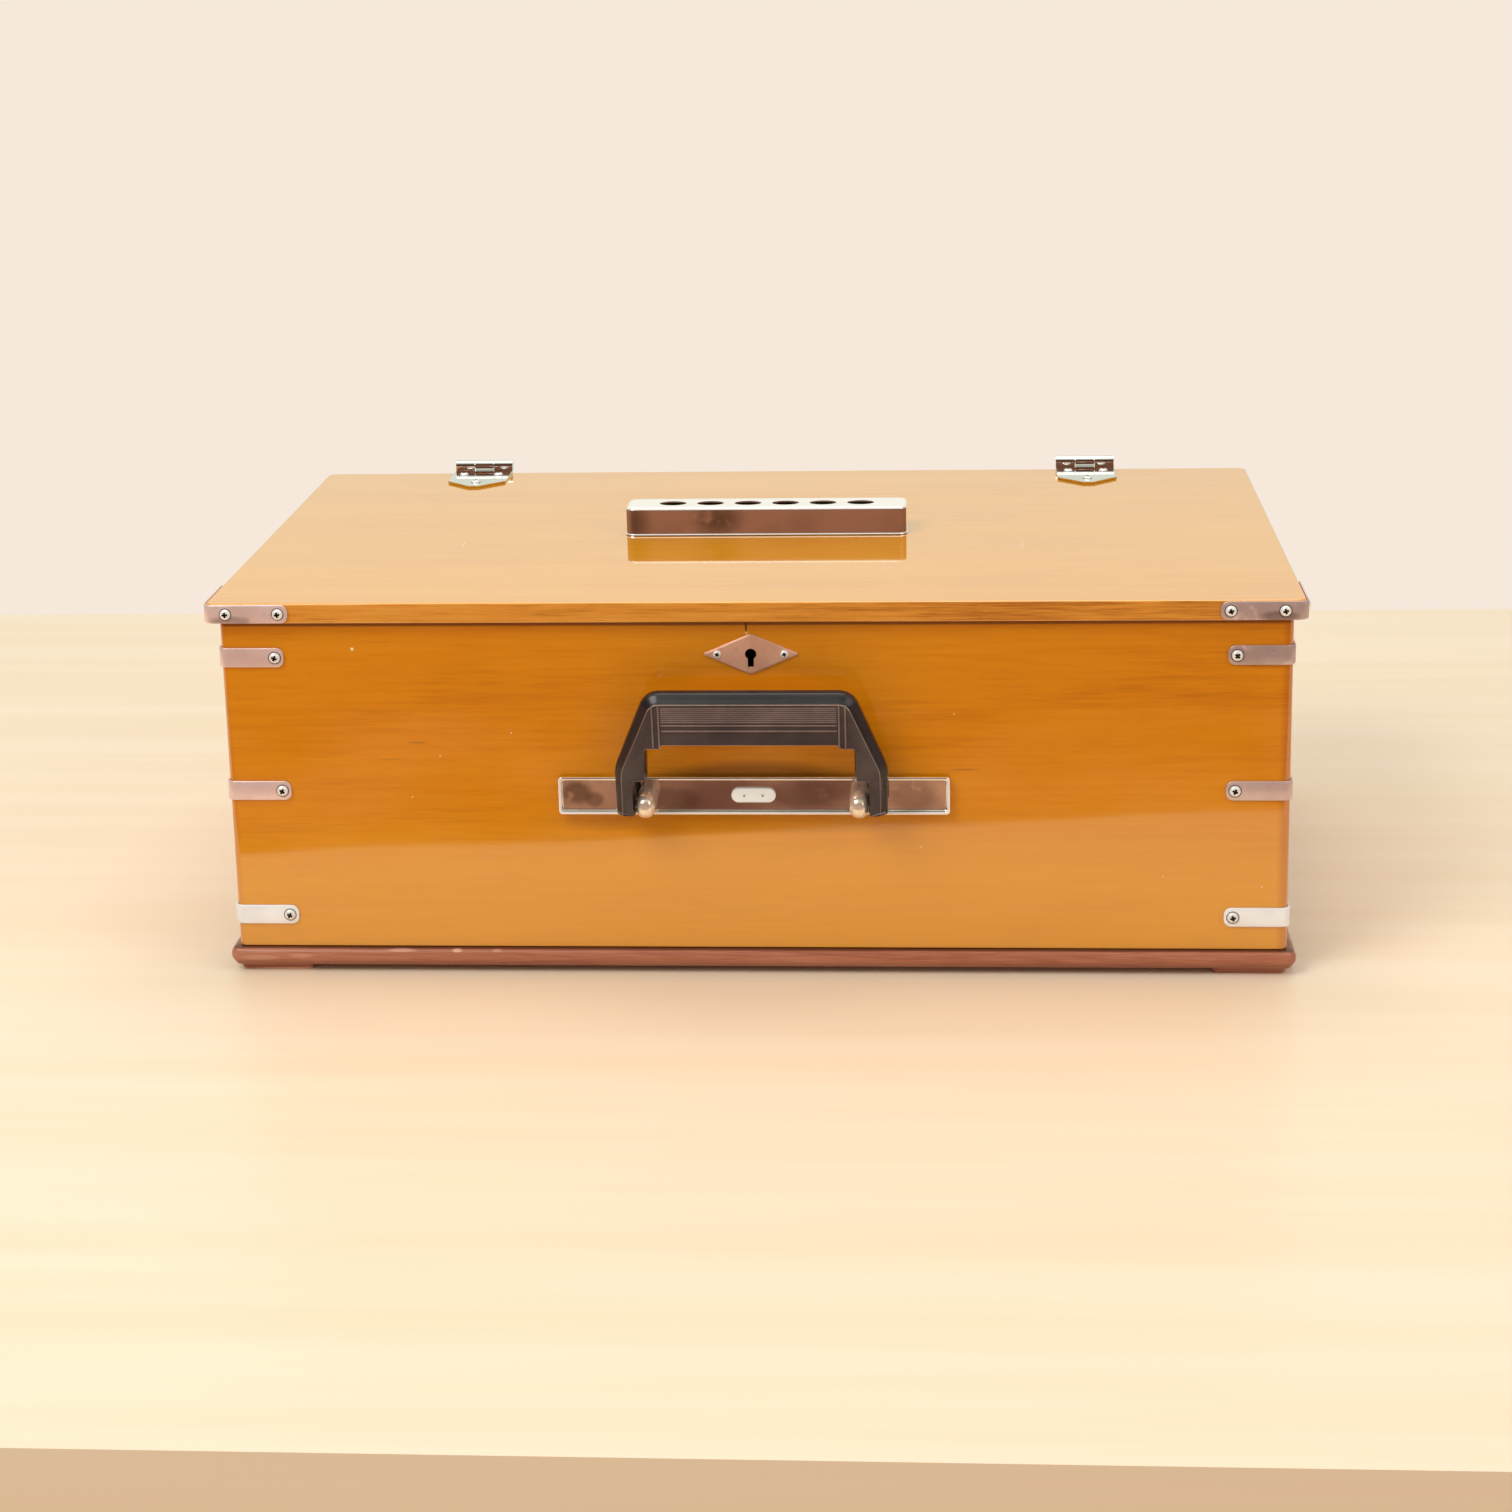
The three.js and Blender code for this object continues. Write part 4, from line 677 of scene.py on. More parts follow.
# %% [markdown]
# Case boards, lid and skirting
#
# The front and the ends are veneered boards, and the lid is a veneered board whose front edge
# has a lipping of its own, with bolder grain. The grain of the end boards runs from front to
# back. The keyhole's bore is painted dark, as painted shade. The skirting under the case has a
# rounded nose and four low corner feet. Its solid already has the nose as seven rows, so smooth
# shading and a small bevel are all it needs.

# %% Case boards, lid and skirting
def in_keyhole(middle, facing):
    """The sides of the hole behind the keyhole plate, painted dark as shade."""
    return abs(middle.x) < 25 and 150 < middle.z < 200 and middle.y > -154.8


def on_lipping(middle, facing):
    """Only what looks forward at the lid's front edge."""
    return facing.y < -0.75 and middle.y < -150


worked(
    "front_board", "case", "case_wood", front_veneer, dark_bore,
    choose=in_keyhole, ease=0.5, steps=3,
)
for side in ("left", "right"):
    worked(f"{side}_end_board", "case", "case_wood", veneer_deep, ease=0.5)
worked("rear_rail", "case", "case_wood", veneer_long, ease=0.6)
worked(
    "lid_panel", "lid", "case_wood", lid_veneer, lid_lipping,
    choose=on_lipping, ease=0.3, angle=24, crease=60,
)
worked("base_plinth", "case", "skirt_wood", skirt_stain, ease=0.5, angle=40, crease=45)
worked("bottom_board", "case", "inner_wood", sanded_board, ease=0.5)

# %% [markdown]
# Corner straps
#
# Eight steel straps are bent round the upright corners of the case and the lid. Each is a
# flat strip with a rounded end. It could be cut out of a bent sheet, but it is simpler to walk
# along the bend: at every step the strip has a place, a direction outwards and a half height,
# which shrinks round the end. A small ring of points around the strip at each step, joined to
# the next ring, gives the strip its thickness and soft edges.

# %% A strip bent round a corner
SEAT = 0.3  # the frame's gap between seated pieces
STRAP = 1.0  # thickness of a strap
SOFT = 0.45  # the rounding of its long edges
END = 4.2  # the rounding of the corners at its ends


def strap_walk(corner_x, corner_y, leg, radius, half):
    """Places along a right-hand strap: (x, y, outward x, outward y, half height)."""
    def height_at(distance):
        return half - END + math.sqrt(END**2 - max(0.0, END - distance) ** 2)

    distances = [END * (1 - math.cos(math.pi / 2 * i / 7)) for i in range(8)]
    distances += [END + (leg - radius - END) * i / 4 for i in range(1, 5)]
    walk = [(corner_x - leg + d, corner_y - SEAT, 0.0, -1.0, height_at(d)) for d in distances]
    inner, centre_x, centre_y = radius + SEAT, corner_x - radius, corner_y + radius
    for i in range(1, 8):
        turn = math.pi / 2 * i / 8
        out_x, out_y = math.sin(turn), -math.cos(turn)
        walk.append((centre_x + inner * out_x, centre_y + inner * out_y, out_x, out_y, half))
    back = [(corner_x + SEAT, corner_y + leg - d, 1.0, 0.0, height_at(d)) for d in distances]
    return walk + back[::-1]


def strap_section(half):
    """A ring round the strip: (height, distance out from the wood)."""
    soft = min(SOFT, half)
    rise = [(half - soft, STRAP), (half - soft * 0.3, STRAP - 0.14), (half, STRAP - SOFT)]
    rise.append((half, 0.0))
    return [(-up, out) for up, out in reversed(rise)] + rise


# %% Corner straps
def box_mm(node):
    """The lowest and the highest corner of one of the frame's solids, in millimetres."""
    return [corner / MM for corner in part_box(node)]


def corner_strap(node, body, side, middle_z, steel, leg, radius, height, reaches, head):
    """Makes a strap, and returns its screws as (place, outward direction, head width)."""
    (low, high), out_by, screws = boards[body], SEAT + STRAP, []
    rings = [
        [
            (side * (x + out * to_x), y + out * to_y, middle_z + up)
            for up, out in strap_section(half)
        ]
        for x, y, to_x, to_y, half in strap_walk(high.x, low.y, leg, radius, height / 2)
    ]
    settled(made_of(node + "_bent", *tube(rings), steel, crease=50), body, "satin_steel", node)
    for reach in reaches:
        screws += [
            ((side * (high.x - reach), low.y - out_by, middle_z), (0, -1, 0), head),
            ((side * (high.x + out_by), low.y + reach, middle_z), (side, 0, 0), head),
        ]
    return screws


case_size = dict(leg=36.0, radius=4.0, height=11.2, reaches=[31.0], head=6.4)
lid_size = dict(leg=47.0, radius=5.0, height=10.5, reaches=[12.0, 41.5], head=6.2)
boards = {"case": box_mm("front_board"), "lid": box_mm("lid_panel")}
lid_low, lid_high = boards["lid"]
case_screws, lid_screws = [], []
for side, word in ((-1, "left"), (1, "right")):
    for level in ("top", "middle", "bottom"):
        node = f"corner_strap_{word}_{level}"
        low, high = box_mm(node)
        # The bottom straps are painted near white as the table's reflection.
        steel = bright_steel if level == "bottom" else satin_steel
        case_screws += corner_strap(node, "case", side, (low.z + high.z) / 2, steel, **case_size)
    middle_z = (lid_low.z + lid_high.z) / 2
    lid_screws += corner_strap(
        f"lid_strap_{word}", "lid", side, middle_z, satin_steel, **lid_size
    )

# %% [markdown]
# Keyhole plate
#
# The plate is a rhombus of coppery steel with a bevelled edge, held by a small screw near
# each side tip. Its solid needs only a finer edge. The lock behind it is brass, and the middle
# of its face is painted dark as the shade seen through the keyhole.

# %% Keyhole plate and lock
def in_lock(middle, facing):
    """The middle of the lock's face, below its bolt, painted dark as the shade behind the keyhole.
    """
    return abs(middle.x) < 12 and middle.z < 203 and abs(facing.x) < 0.9


worked(
    "keyhole_escutcheon", "case", "satin_steel", copper_steel, ease=0.14, angle=20, crease=25
)
worked("lock_case", "case", "brass", brass, dull_iron, choose=in_lock, ease=0.25)
worked("lock_bolt", "bolt", "brass", brass, ease=0.2)
worked("lock_staple", "lid", "brass", brass, ease=0.2)
low, high = box_mm("keyhole_escutcheon")
keyhole_z = (low.z + high.z) / 2
case_screws += [((x, low.y + 0.2, keyhole_z), (0, -1, 0), 4.6) for x in (-18.7, 18.7)]

# %% [markdown]
# Turned shapes
#
# Screw heads, pivot pins and stop knobs are turned on a lathe, so they are drawn as a lathe
# works: a short list of radii along an axis, swept round it.

# %% Turned shapes
def turned(profile, sides, dent=None):
    """profile is [(radius, height)] from bottom to top, about Z. dent(x, y) sinks the top."""
    rings = []
    for radius, height in profile:
        turns = [2 * math.pi * i / sides for i in range(sides)]
        flat = [(radius * math.cos(turn), radius * math.sin(turn)) for turn in turns]
        sunk = dent if dent and height > 0 else lambda x, y: 0.0
        rings.append([(x, y, height - sunk(x, y)) for x, y in flat])
    return tube(rings)


# %% [markdown]
# Screws by Geometry Nodes
#
# The same round-head screw is used dozens of times, so it is drawn once and placed by a node
# tree. The tree gets bare points, each with a direction and a width, sets a head on every
# point, turns it to its direction, and then turns it about its own axis by a random angle:
# nobody lines up the slots. The copies are made real at the end, because an export would
# lose them, and the result is baked into one plain mesh for each body that carries screws.

# %% One screw head
def cross_recess(x, y):
    """The driver's cross in a head one unit wide, deepest in the middle."""
    in_arm = (abs(x) < 0.075 and abs(y) < 0.24) or (abs(y) < 0.075 and abs(x) < 0.24)
    return 0.16 if in_arm else 0.0


def screw_head():
    """A head one unit wide in its countersink, whose dark faces, painted shade in the driver's
    recess and round the rim, are marked for the tree.
    """
    profile = [(0.57, -0.1), (0.57, 0.01), (0.505, 0.012), (0.5, 0.0), (0.495, 0.05)]
    profile += [(0.44, 0.15), (0.35, 0.225), (0.26, 0.262), (0.235, 0.268), (0.15, 0.28)]
    profile += [(0.072, 0.285), (0.02, 0.285)]
    mesh = bare_mesh("screw_head", *turned(profile, 32, cross_recess), unit=1)
    smooth_faces(mesh, 45)
    dark = mesh.attributes.new("dark", "BOOLEAN", "FACE")
    for face in mesh.polygons:
        reach = math.hypot(face.center.x, face.center.y)
        sunk = reach < 0.3 and face.center.z < 0.24
        dark.data[face.index].value = reach < 0.13 or sunk or reach > 0.5
    return bpy.data.objects.new("screw_head", mesh)


# %% Geometry trees
def new_tree(name, sockets):
    """An empty geometry tree and its inputs. sockets gives the kind of each by its name."""
    group = bpy.data.node_groups.new(name, "GeometryNodeTree")
    for socket, kind in {"Geometry": "Geometry", **sockets}.items():
        group.interface.new_socket(socket, in_out="INPUT", socket_type="NodeSocket" + kind)
    group.interface.new_socket("Geometry", in_out="OUTPUT", socket_type="NodeSocketGeometry")
    tree = Tree(group)
    start = tree.node("NodeGroupInput").socket.node
    return tree, {s.name: Wire(tree, s) for s in start.outputs if s.name}


def stored(tree, kind, name):
    """What every point or face carries under a name."""
    return tree.node("GeometryNodeInputNamedAttribute", {"data_type": kind}, {"Name": name})


def tree_result(tree, shape, finish, second=None):
    """Ends a tree: copies made real, and finish set. A second finish is for the dark faces."""
    real = tree.node("GeometryNodeRealizeInstances", inputs={0: shape})
    dressed = tree.node("GeometryNodeSetMaterial", inputs={0: real, "Material": finish})
    if second:
        marked = {0: dressed, "Selection": stored(tree, "BOOLEAN", "dark"), "Material": second}
        dressed = tree.node("GeometryNodeSetMaterial", inputs=marked)
    tree.node("NodeGroupOutput", inputs={0: dressed})


def grown(piece, tree, values):
    """Runs a tree on a piece with the named values and keeps the result as a plain mesh."""
    modifier = piece.modifiers.new("grown", "NODES")
    modifier.node_group = tree.made
    for item in tree.made.interface.items_tree:
        if item.in_out == "INPUT" and item.name in values:
            modifier[item.identifier] = values[item.name]
    modifiers_applied(piece)
    smooth_faces(piece.data, 40)
    return piece


# %% The screws' tree
def screw_tree():
    kinds = {"Head": "Object", "Turn seed": "Int", "Finish": "Material", "Painted shade": "Material"}
    tree, given = new_tree("screws", kinds)
    facing, width = stored(tree, "FLOAT_VECTOR", "facing"), stored(tree, "FLOAT", "width")
    head = tree.node("GeometryNodeObjectInfo", {}, {"Object": given["Head"]}, "Geometry")
    upright = tree.node("FunctionNodeAlignRotationToVector", {"axis": "Z"}, {"Vector": facing})
    half_turn = {2: 0.0, 3: math.pi, "Seed": given["Turn seed"]}
    turn = tree.node("FunctionNodeRandomValue", {"data_type": "FLOAT"}, half_turn, 1)
    spin = tree.node(
        "FunctionNodeEulerToRotation", inputs={0: tree.node("ShaderNodeCombineXYZ", {}, {2: turn})}
    )
    own = {"rotation_space": "LOCAL"}
    aimed = tree.node("FunctionNodeRotateRotation", own, {0: upright, 1: spin})
    placing = {"Points": given["Geometry"], "Instance": head, "Rotation": aimed, "Scale": width}
    heads = tree.node("GeometryNodeInstanceOnPoints", inputs=placing)
    tree_result(tree, heads, given["Finish"], given["Painted shade"])
    return tree


screws, round_head = screw_tree(), screw_head()
print("screw head:", len(round_head.data.polygons), "faces; tree:", len(screws.made.nodes), "nodes")


def screw_row(name, places, finish, body, slot, seed):
    """places are (place, outward direction, head width), all in millimetres."""
    mesh = bare_mesh(name, [place for place, _, _ in places])
    facing = mesh.attributes.new("facing", "FLOAT_VECTOR", "POINT")
    facing.data.foreach_set("vector", [v for _, way, _ in places for v in way])
    width = mesh.attributes.new("width", "FLOAT", "POINT")
    width.data.foreach_set("value", [wide * MM for _, _, wide in places])
    values = {"Head": round_head, "Turn seed": seed, "Finish": finish, "Painted shade": screw_recess}
    return settled(grown(in_scene(name, mesh), screws, values), body, slot)


# %% [markdown]
# Handle tray
#
# The handle's ends turn on pins in two lugs, which stand in a pressed chrome tray. The tray is
# a sheet with its rim turned up, so it is drawn as rings of a rounded rectangle: outside wall,
# over the rim, inside wall, and the flat floor. The lugs are narrow balls that run down into
# the tray, and a blank stadium-shaped plate sits between them on two rivets.

# %% Handle tray
def rounded_outline(half_u, half_v, radius, steps=6):
    """A rectangle with rounded corners, as a ring of (u, v)."""
    points = []
    for quarter, (su, sv) in enumerate([(1, 1), (-1, 1), (-1, -1), (1, -1)]):
        for i in range(steps + 1):
            turn = (quarter + i / steps) * math.pi / 2
            u = su * (half_u - radius) + radius * math.cos(turn)
            points.append((u, sv * (half_v - radius) + radius * math.sin(turn)))
    return points


def pressed(rows, half_u, half_v, radius, steps=6, follow=1.0):
    """A stack of rounded rectangles. rows are (inset, level), and the corners' radius follows
    the inset."""
    return tube([
        [
            (u, v, level) for u, v in rounded_outline(
                half_u - inset, half_v - inset, max(radius - follow * inset, 0.02), steps
            )
        ]
        for inset, level in rows
    ])


def facing_front(x, y, z):
    """Turns a shape drawn flat, with its height along +Z, to stand on a wall that faces -Y."""
    return Matrix.Translation(Vector((x, y, z)) * MM) @ Matrix.Rotation(math.pi / 2, 4, "X")


def on_rim(middle, facing):
    """The tray's rim, apart from its upper edge. It is painted near white as a highlight."""
    low_or_side = middle.z < tray_z or abs(middle.x) > tray_half - 1.7
    return middle.y < tray_high.y - 3.3 and low_or_side


tray_low, tray_high = box_mm("handle_plate")
tray_half, tray_rise = (tray_high.x - tray_low.x) / 2, (tray_high.z - tray_low.z) / 2
tray_z = (tray_low.z + tray_high.z) / 2
tray_rows = [(0.0, 0.0), (0.0, 3.7), (0.12, 4.15), (0.42, 4.45), (0.85, 4.5), (1.25, 4.4)]
tray_rows += [(1.5, 4.1), (1.62, 3.6), (1.7, 2.3), (2.0, 1.75), (2.6, 1.5)]
sheet = pressed(tray_rows, tray_half, tray_rise, 2.0, follow=0.5)
tray_place = facing_front(0, tray_high.y, tray_z)
tray = even_normals(made_of("handle_tray", *sheet, tray_chrome, crease=60, place=tray_place))
# The rim gets the painted highlight.
face_finishes(tray, [tray_chrome, polished_rim], on_rim)

# %% Lugs and pins
PIVOT_Y, PIVOT_Z = -169.742, 104.9  # the handle's axis in the frame
LUG_X, LUG_HALF, LUG_RADIUS, PIN_OUT = 59.6, 5.5, 7.0, 4.4


def lug(x):
    """A narrow ball that runs down to the tray: half rings along X."""
    rings, foot = [], tray_high.y - 0.8
    shares = [0.14, 0.38, 0.58, 0.74, 0.86, 0.94, 0.985]
    for share in [-s for s in reversed(shares)] + shares:
        radius = LUG_RADIUS * (1 - abs(share) ** 2.6) ** (1 / 2.2)
        across = x + share * LUG_HALF
        turns = [math.pi / 2 + math.pi * i / 20 for i in range(21)]
        around = [(PIVOT_Y + radius * math.cos(t), PIVOT_Z + radius * math.sin(t)) for t in turns]
        around += [(foot, PIVOT_Z - radius), (foot, PIVOT_Z + radius)]
        rings.append([(across, y, z) for y, z in around])
    return tube(rings)


def joined_pieces(name, pieces):
    """One object from several, whose faces all keep their finishes."""
    finishes = []
    shape = bmesh.new()
    for piece in pieces:
        own = list(piece.data.materials)
        finishes += [finish for finish in own if finish and finish not in finishes]
        before = len(shape.faces)
        shape.from_mesh(piece.data)
        shape.faces.ensure_lookup_table()
        for face in shape.faces[before:]:
            finish = own[face.material_index] or next(m for m in own if m)
            face.material_index = finishes.index(finish)
    merged = bpy.data.meshes.new(name)
    for finish in finishes:
        merged.materials.append(finish)
    shape.to_mesh(merged)
    shape.free()
    for piece in pieces:
        bpy.data.objects.remove(piece)
    return in_scene(name, merged)


fittings = [tray]
for side in (-1, 1):
    fittings.append(made_of(f"lug_{side}", *lug(side * LUG_X), lug_metal, crease=50))
    pin = [(2.0, 0.0), (2.0, 8.0), (1.6, 8.5)]
    if side < 0:
        pin = [(radius, -height) for radius, height in reversed(pin)]
    pin_place = Matrix.Translation(Vector((side * (LUG_X + PIN_OUT), PIVOT_Y, PIVOT_Z)) * MM)
    pin_place = pin_place @ Matrix.Rotation(math.pi / 2, 4, "Y")
    fittings.append(made_of(f"pin_{side}", *turned(pin, 20), chrome, place=pin_place))
settled(joined_pieces("handle_tray_and_lugs", fittings), "case", "chrome_trim", "handle_plate")

# %% Blank plate in the tray
badge_low, badge_high = box_mm("handle_badge")
badge_rows = [(0.0, 0.0), (0.0, 0.9), (0.15, 1.3), (0.5, 1.55), (1.0, 1.6)]
blank = pressed(badge_rows, 12.5, 4.2, 4.19, steps=10)
badge_place = facing_front(0, badge_high.y, tray_z)
# Its face is painted white as a reflection.
badge = made_of("blank_plate", *blank, white_plate, crease=50, place=badge_place)
settled(badge, "case", "chrome_trim", "handle_badge")
case_screws += [((x, badge_low.y + 0.05, tray_z), (0, -1, 0), 1.9) for x in (-5.2, 5.2)]

# %% [markdown]
# Carry handle
#
# The handle is a black moulded arch. Seen from the front it is an outline with rounded
# shoulders and knees; a wide bevel runs round its outer edge and a narrow one round its inner
# edge. So the outline is drawn once with its corners rounded, and then copied at several
# depths, each copy drawn in by the bevel at that depth. The ribs that stop the hand from
# slipping are small beads in rows on the front of the grip, so a node tree lays one bead
# along a line of points. The arch leans nine degrees out from upright.

# %% Handle outline
def rounded_corners(path, steps=7):
    """path is (x, z, radius, bevel share); each corner becomes a short arc."""
    points = []
    for i, (x, z, radius, share) in enumerate(path):
        here = Vector((x, z))
        back = (Vector(path[i - 1][:2]) - here).normalized()
        ahead = (Vector(path[(i + 1) % len(path)][:2]) - here).normalized()
        half_angle = back.angle(ahead) / 2
        reach = radius / math.tan(half_angle)
        centre = here + (back + ahead).normalized() * radius / math.sin(half_angle)
        start, end = here + back * reach - centre, here + ahead * reach - centre
        for k in range(steps + 1):
            points.append((centre + start.lerp(end, k / steps).normalized() * radius, share))
    return points


def drawn_in(outline, inset):
    """The outline moved inwards by the inset times each corner's bevel share."""
    moved = []
    for i, (here, share) in enumerate(outline):
        back = (here - outline[i - 1][0]).normalized()
        ahead = (outline[(i + 1) % len(outline)][0] - here).normalized()
        normal_back, normal_ahead = Vector((back.y, -back.x)), Vector((ahead.y, -ahead.x))
        miter = (normal_back + normal_ahead).normalized()
        moved.append(here + miter * (inset * share / max(0.35, miter.dot(normal_back))))
    return moved


def mirrored(path):
    return [(-x, z, radius, share) for x, z, radius, share in reversed(path)]


FOOT_Z, LEAN = -4.2, 8.89  # millimetres below the pivot, and degrees
outer = [(75.6, FOOT_Z, 1.0, 0.8), (75.8, 24.5, 22.0, 0.85), (57.3, 70.2, 11.5, 1.0)]
inner = [(49.0, 39.8, 0.6, 0.25), (49.8, 37.5, 0.9, 0.25), (57.4, 37.6, 1.0, 0.25)]
inner += [(57.8, 18.0, 0.8, 0.25), (65.2, 17.4, 0.6, 0.2), (65.0, FOOT_Z, 0.8, 0.2)]
arch_outline = rounded_corners(outer + mirrored(outer) + mirrored(inner) + inner)
arch_outline.reverse()  # so that its normals point inwards
print(len(arch_outline), "points round the handle")

# %% Handle arch
handle_place = Matrix.Translation(Vector((0, PIVOT_Y, PIVOT_Z)) * MM)
handle_place = handle_place @ Matrix.Rotation(math.radians(LEAN), 4, "X")
handle_inverse = handle_place.inverted()
handle_front = handle_place.to_3x3() @ Vector((0, -1, 0))
bevel_rows = [(5.4, -7.0), (5.2, -7.05), (5.05, -7.35), (4.75, -7.45), (4.45, -7.3), (4.2, -6.45)]
bevel_rows += [(2.1, -4.6), (0.7, -3.2), (0.2, -2.3), (0.0, -1.2)]
bevel_rows += [(inset, -depth) for inset, depth in reversed(bevel_rows)]
rings = [
    [(p.x, depth, p.y) for p in drawn_in(arch_outline, inset)] for inset, depth in bevel_rows
]
corners, faces = between(rings)
for start, ring in ((0, rings[0]), (len(corners) - len(rings[0]), rings[-1])):
    flat = [Vector((x, z, 0)) for x, _, z in ring]
    faces += [[start + i for i in triangle] for triangle in tessellate_polygon([flat])]
arch = even_normals(made_of("arch", corners, faces, handle_black, crease=30, place=handle_place))


def arch_finish(middle, facing):
    """0 for the flat front and back, 1 for the bevels, painted darker as shade, 2 for the fine
    bead between them, painted lighter as a highlight, and 3 for its top, painted lighter still."""
    place = handle_inverse @ (middle * MM) / MM
    if abs(place.y) > 7.03:
        return 3 if place.z > 62 else 2
    return abs(facing.dot(handle_front)) <= 0.97


face_finishes(arch, [handle_black, handle_edge, handle_worn, handle_rubbed], arch_finish)
print("arch:", len(arch.data.polygons), "faces")

# %% Ribs on the grip
def bead(length, width, height):
    """A long rounded rib that lies along X, with its flat side down."""
    rows = [(0.0, -0.3), (0.0, height * 0.35), (width * 0.14, height * 0.8), (width * 0.36, height)]
    shape = pressed(rows, length / 2, width / 2, width / 2 - 0.01, steps=3)
    return bpy.data.objects.new("bead", bare_mesh("bead", *shape))


def bead_tree():
    kinds = {"Bead": "Object", "Count": "Int", "Pitch": "Float", "Finish": "Material"}
    tree, given = new_tree("beads", kinds)
    spaced = {
        "Count": given["Count"],
        "Offset": tree.node("ShaderNodeCombineXYZ", {}, {1: given["Pitch"]}),
    }
    line = tree.node("GeometryNodeMeshLine", {"mode": "OFFSET"}, spaced)
    one = tree.node("GeometryNodeObjectInfo", {}, {"Object": given["Bead"]}, "Geometry")
    rows = tree.node("GeometryNodeInstanceOnPoints", {}, {"Points": line, "Instance": one})
    tree_result(tree, rows, given["Finish"])
    return tree


beads = bead_tree()
grip = [arch]
for name, size, count, pitch, x, z, turn in (
    ("grip_ribs", (97, 0.85, 0.42), 8, 1.2, 0, 54.9, 0.0),
    ("grip_lines", (97, 1.0, 0.6), 2, 3.4, 0, 49.5, 0.0),
    ("grip_end", (26, 1.0, 0.7), 2, 3.5, -49.6, 52.0, math.pi / 2),
    ("grip_end", (26, 1.0, 0.7), 2, 3.5, 53.1, 52.0, math.pi / 2),
):
    rows = in_scene(name, bpy.data.meshes.new(name))
    # The ribs get the bead's lighter plastic, a painted highlight.
    values = {"Bead": bead(*size), "Count": count, "Pitch": pitch * MM, "Finish": handle_worn}
    grown(rows, beads, values)
    on_grip = handle_place @ facing_front(x, -7.0, z) @ Matrix.Rotation(turn, 4, "Z")
    rows.data.transform(on_grip)
    grip.append(rows)
handle = joined_pieces("handle_arch", grip)
smooth_faces(handle.data, 30)
settled(handle, "handle", "black_plastic", "carry_handle")

# %% [markdown]
# Vent cover
#
# A pressed chrome cover with six oval holes stands over the slot in the lid and lets the sound
# out. Its top is a flat face with holes in it, which is filled between its outlines, and the
# metal turns down a little into each hole. The sheet is drawn as one surface and then given
# its thickness. Its upward faces are painted near white as a highlight, and its front wall is
# painted brown, with dark blotches, as its reflection of the lid. A black cloth under the holes
# is painted shade: it darkens them.

# %% The cover's sheet
cover_low, cover_high = box_mm("lid_vent_cover")
cover_middle = (cover_low + cover_high) / 2
COVER_LENGTH, COVER_WIDTH, COVER_CORNER, HOLE_PITCH, HOLES = 170.0, 27.0, 5.6, 22.8, 6


def vent_sheet():
    """The outer face of the cover, drawn about its own middle."""
    shape = bmesh.new()
    height = cover_high.z - cover_low.z

    def joined(points, level, last):
        """Adds a ring of corners, and the faces between it and the last ring."""
        ring = [shape.verts.new((u * MM, v * MM, level * MM)) for u, v in points]
        for i in range(len(ring) if last else 0):
            shape.faces.new([last[i - 1], last[i], ring[i], ring[i - 1]])
        return ring

    rows = [(-0.6, 0.0), (-0.55, 0.3), (-0.4, 0.5), (-0.15, 0.65), (0.0, 1.0), (0.0, 1.6)]
    rows += [(0.0, height - 2.2), (0.17, height - 1.35), (0.62, height - 0.62)]
    rows += [(1.25, height - 0.17), (2.1, height)]
    ring = None
    for inset, level in rows:
        half_u, half_v = COVER_LENGTH / 2 - inset, COVER_WIDTH / 2 - inset
        ring = joined(rounded_outline(half_u, half_v, COVER_CORNER - inset, 8), level, ring)
    rims = [shape.edges.get((ring[i], ring[i - 1])) for i in range(len(ring))]
    turns = [2 * math.pi * i / 36 for i in range(36)]
    for n in range(HOLES):
        x, ring = (n - (HOLES - 1) / 2) * HOLE_PITCH, None
        for half_u, half_v, sunk in (
            (8.5, 6.0, 0.0), (8.15, 5.65, 0.15), (8.0, 5.5, 0.6), (8.0, 5.5, 1.0)
        ):
            oval = [(x + half_u * math.cos(turn), half_v * math.sin(turn)) for turn in turns]
            first, ring = ring is None, joined(oval, height - sunk, ring)
            if first:
                rims += [shape.edges.new((ring[i - 1], ring[i])) for i in range(36)]
    bmesh.ops.triangle_fill(shape, edges=rims, use_beauty=True)
    bmesh.ops.recalc_face_normals(shape, faces=shape.faces)
    if max(shape.faces, key=lambda f: f.calc_center_median().z).normal.z < 0:
        bmesh.ops.reverse_faces(shape, faces=shape.faces)
    return shape


# %% Vent cover
def cover_finish(middle, facing):
    """0 for the back and the ends, 1 for what faces up, painted near white as a highlight, 2 for
    the tall front wall, painted brown as its reflection of the lid.
    """
    if facing.y < -0.3 and abs(facing.z) < 0.35 and middle.z > cover_low.z + 1.2:
        return 2
    return facing.z > 0.35 and middle.z > cover_low.z + 0.4


shape = vent_sheet()
seat = Vector((cover_middle.x, cover_middle.y, cover_low.z)) * MM
bmesh.ops.translate(shape, verts=shape.verts, vec=seat)
mesh = bpy.data.meshes.new("vent_cover")
shape.to_mesh(mesh)
shape.free()
mesh.materials.append(chrome)
cover = in_scene("vent_cover", mesh)
wall = cover.modifiers.new("sheet", "SOLIDIFY")
wall.thickness, wall.offset = 0.9 * MM, -1.0
modifiers_applied(cover)
face_finishes(cover, [chrome, polished_rim, cover_front], cover_finish)
smooth_faces(cover.data, 40)
settled(even_normals(cover), "lid", "chrome_trim", "lid_vent_cover")

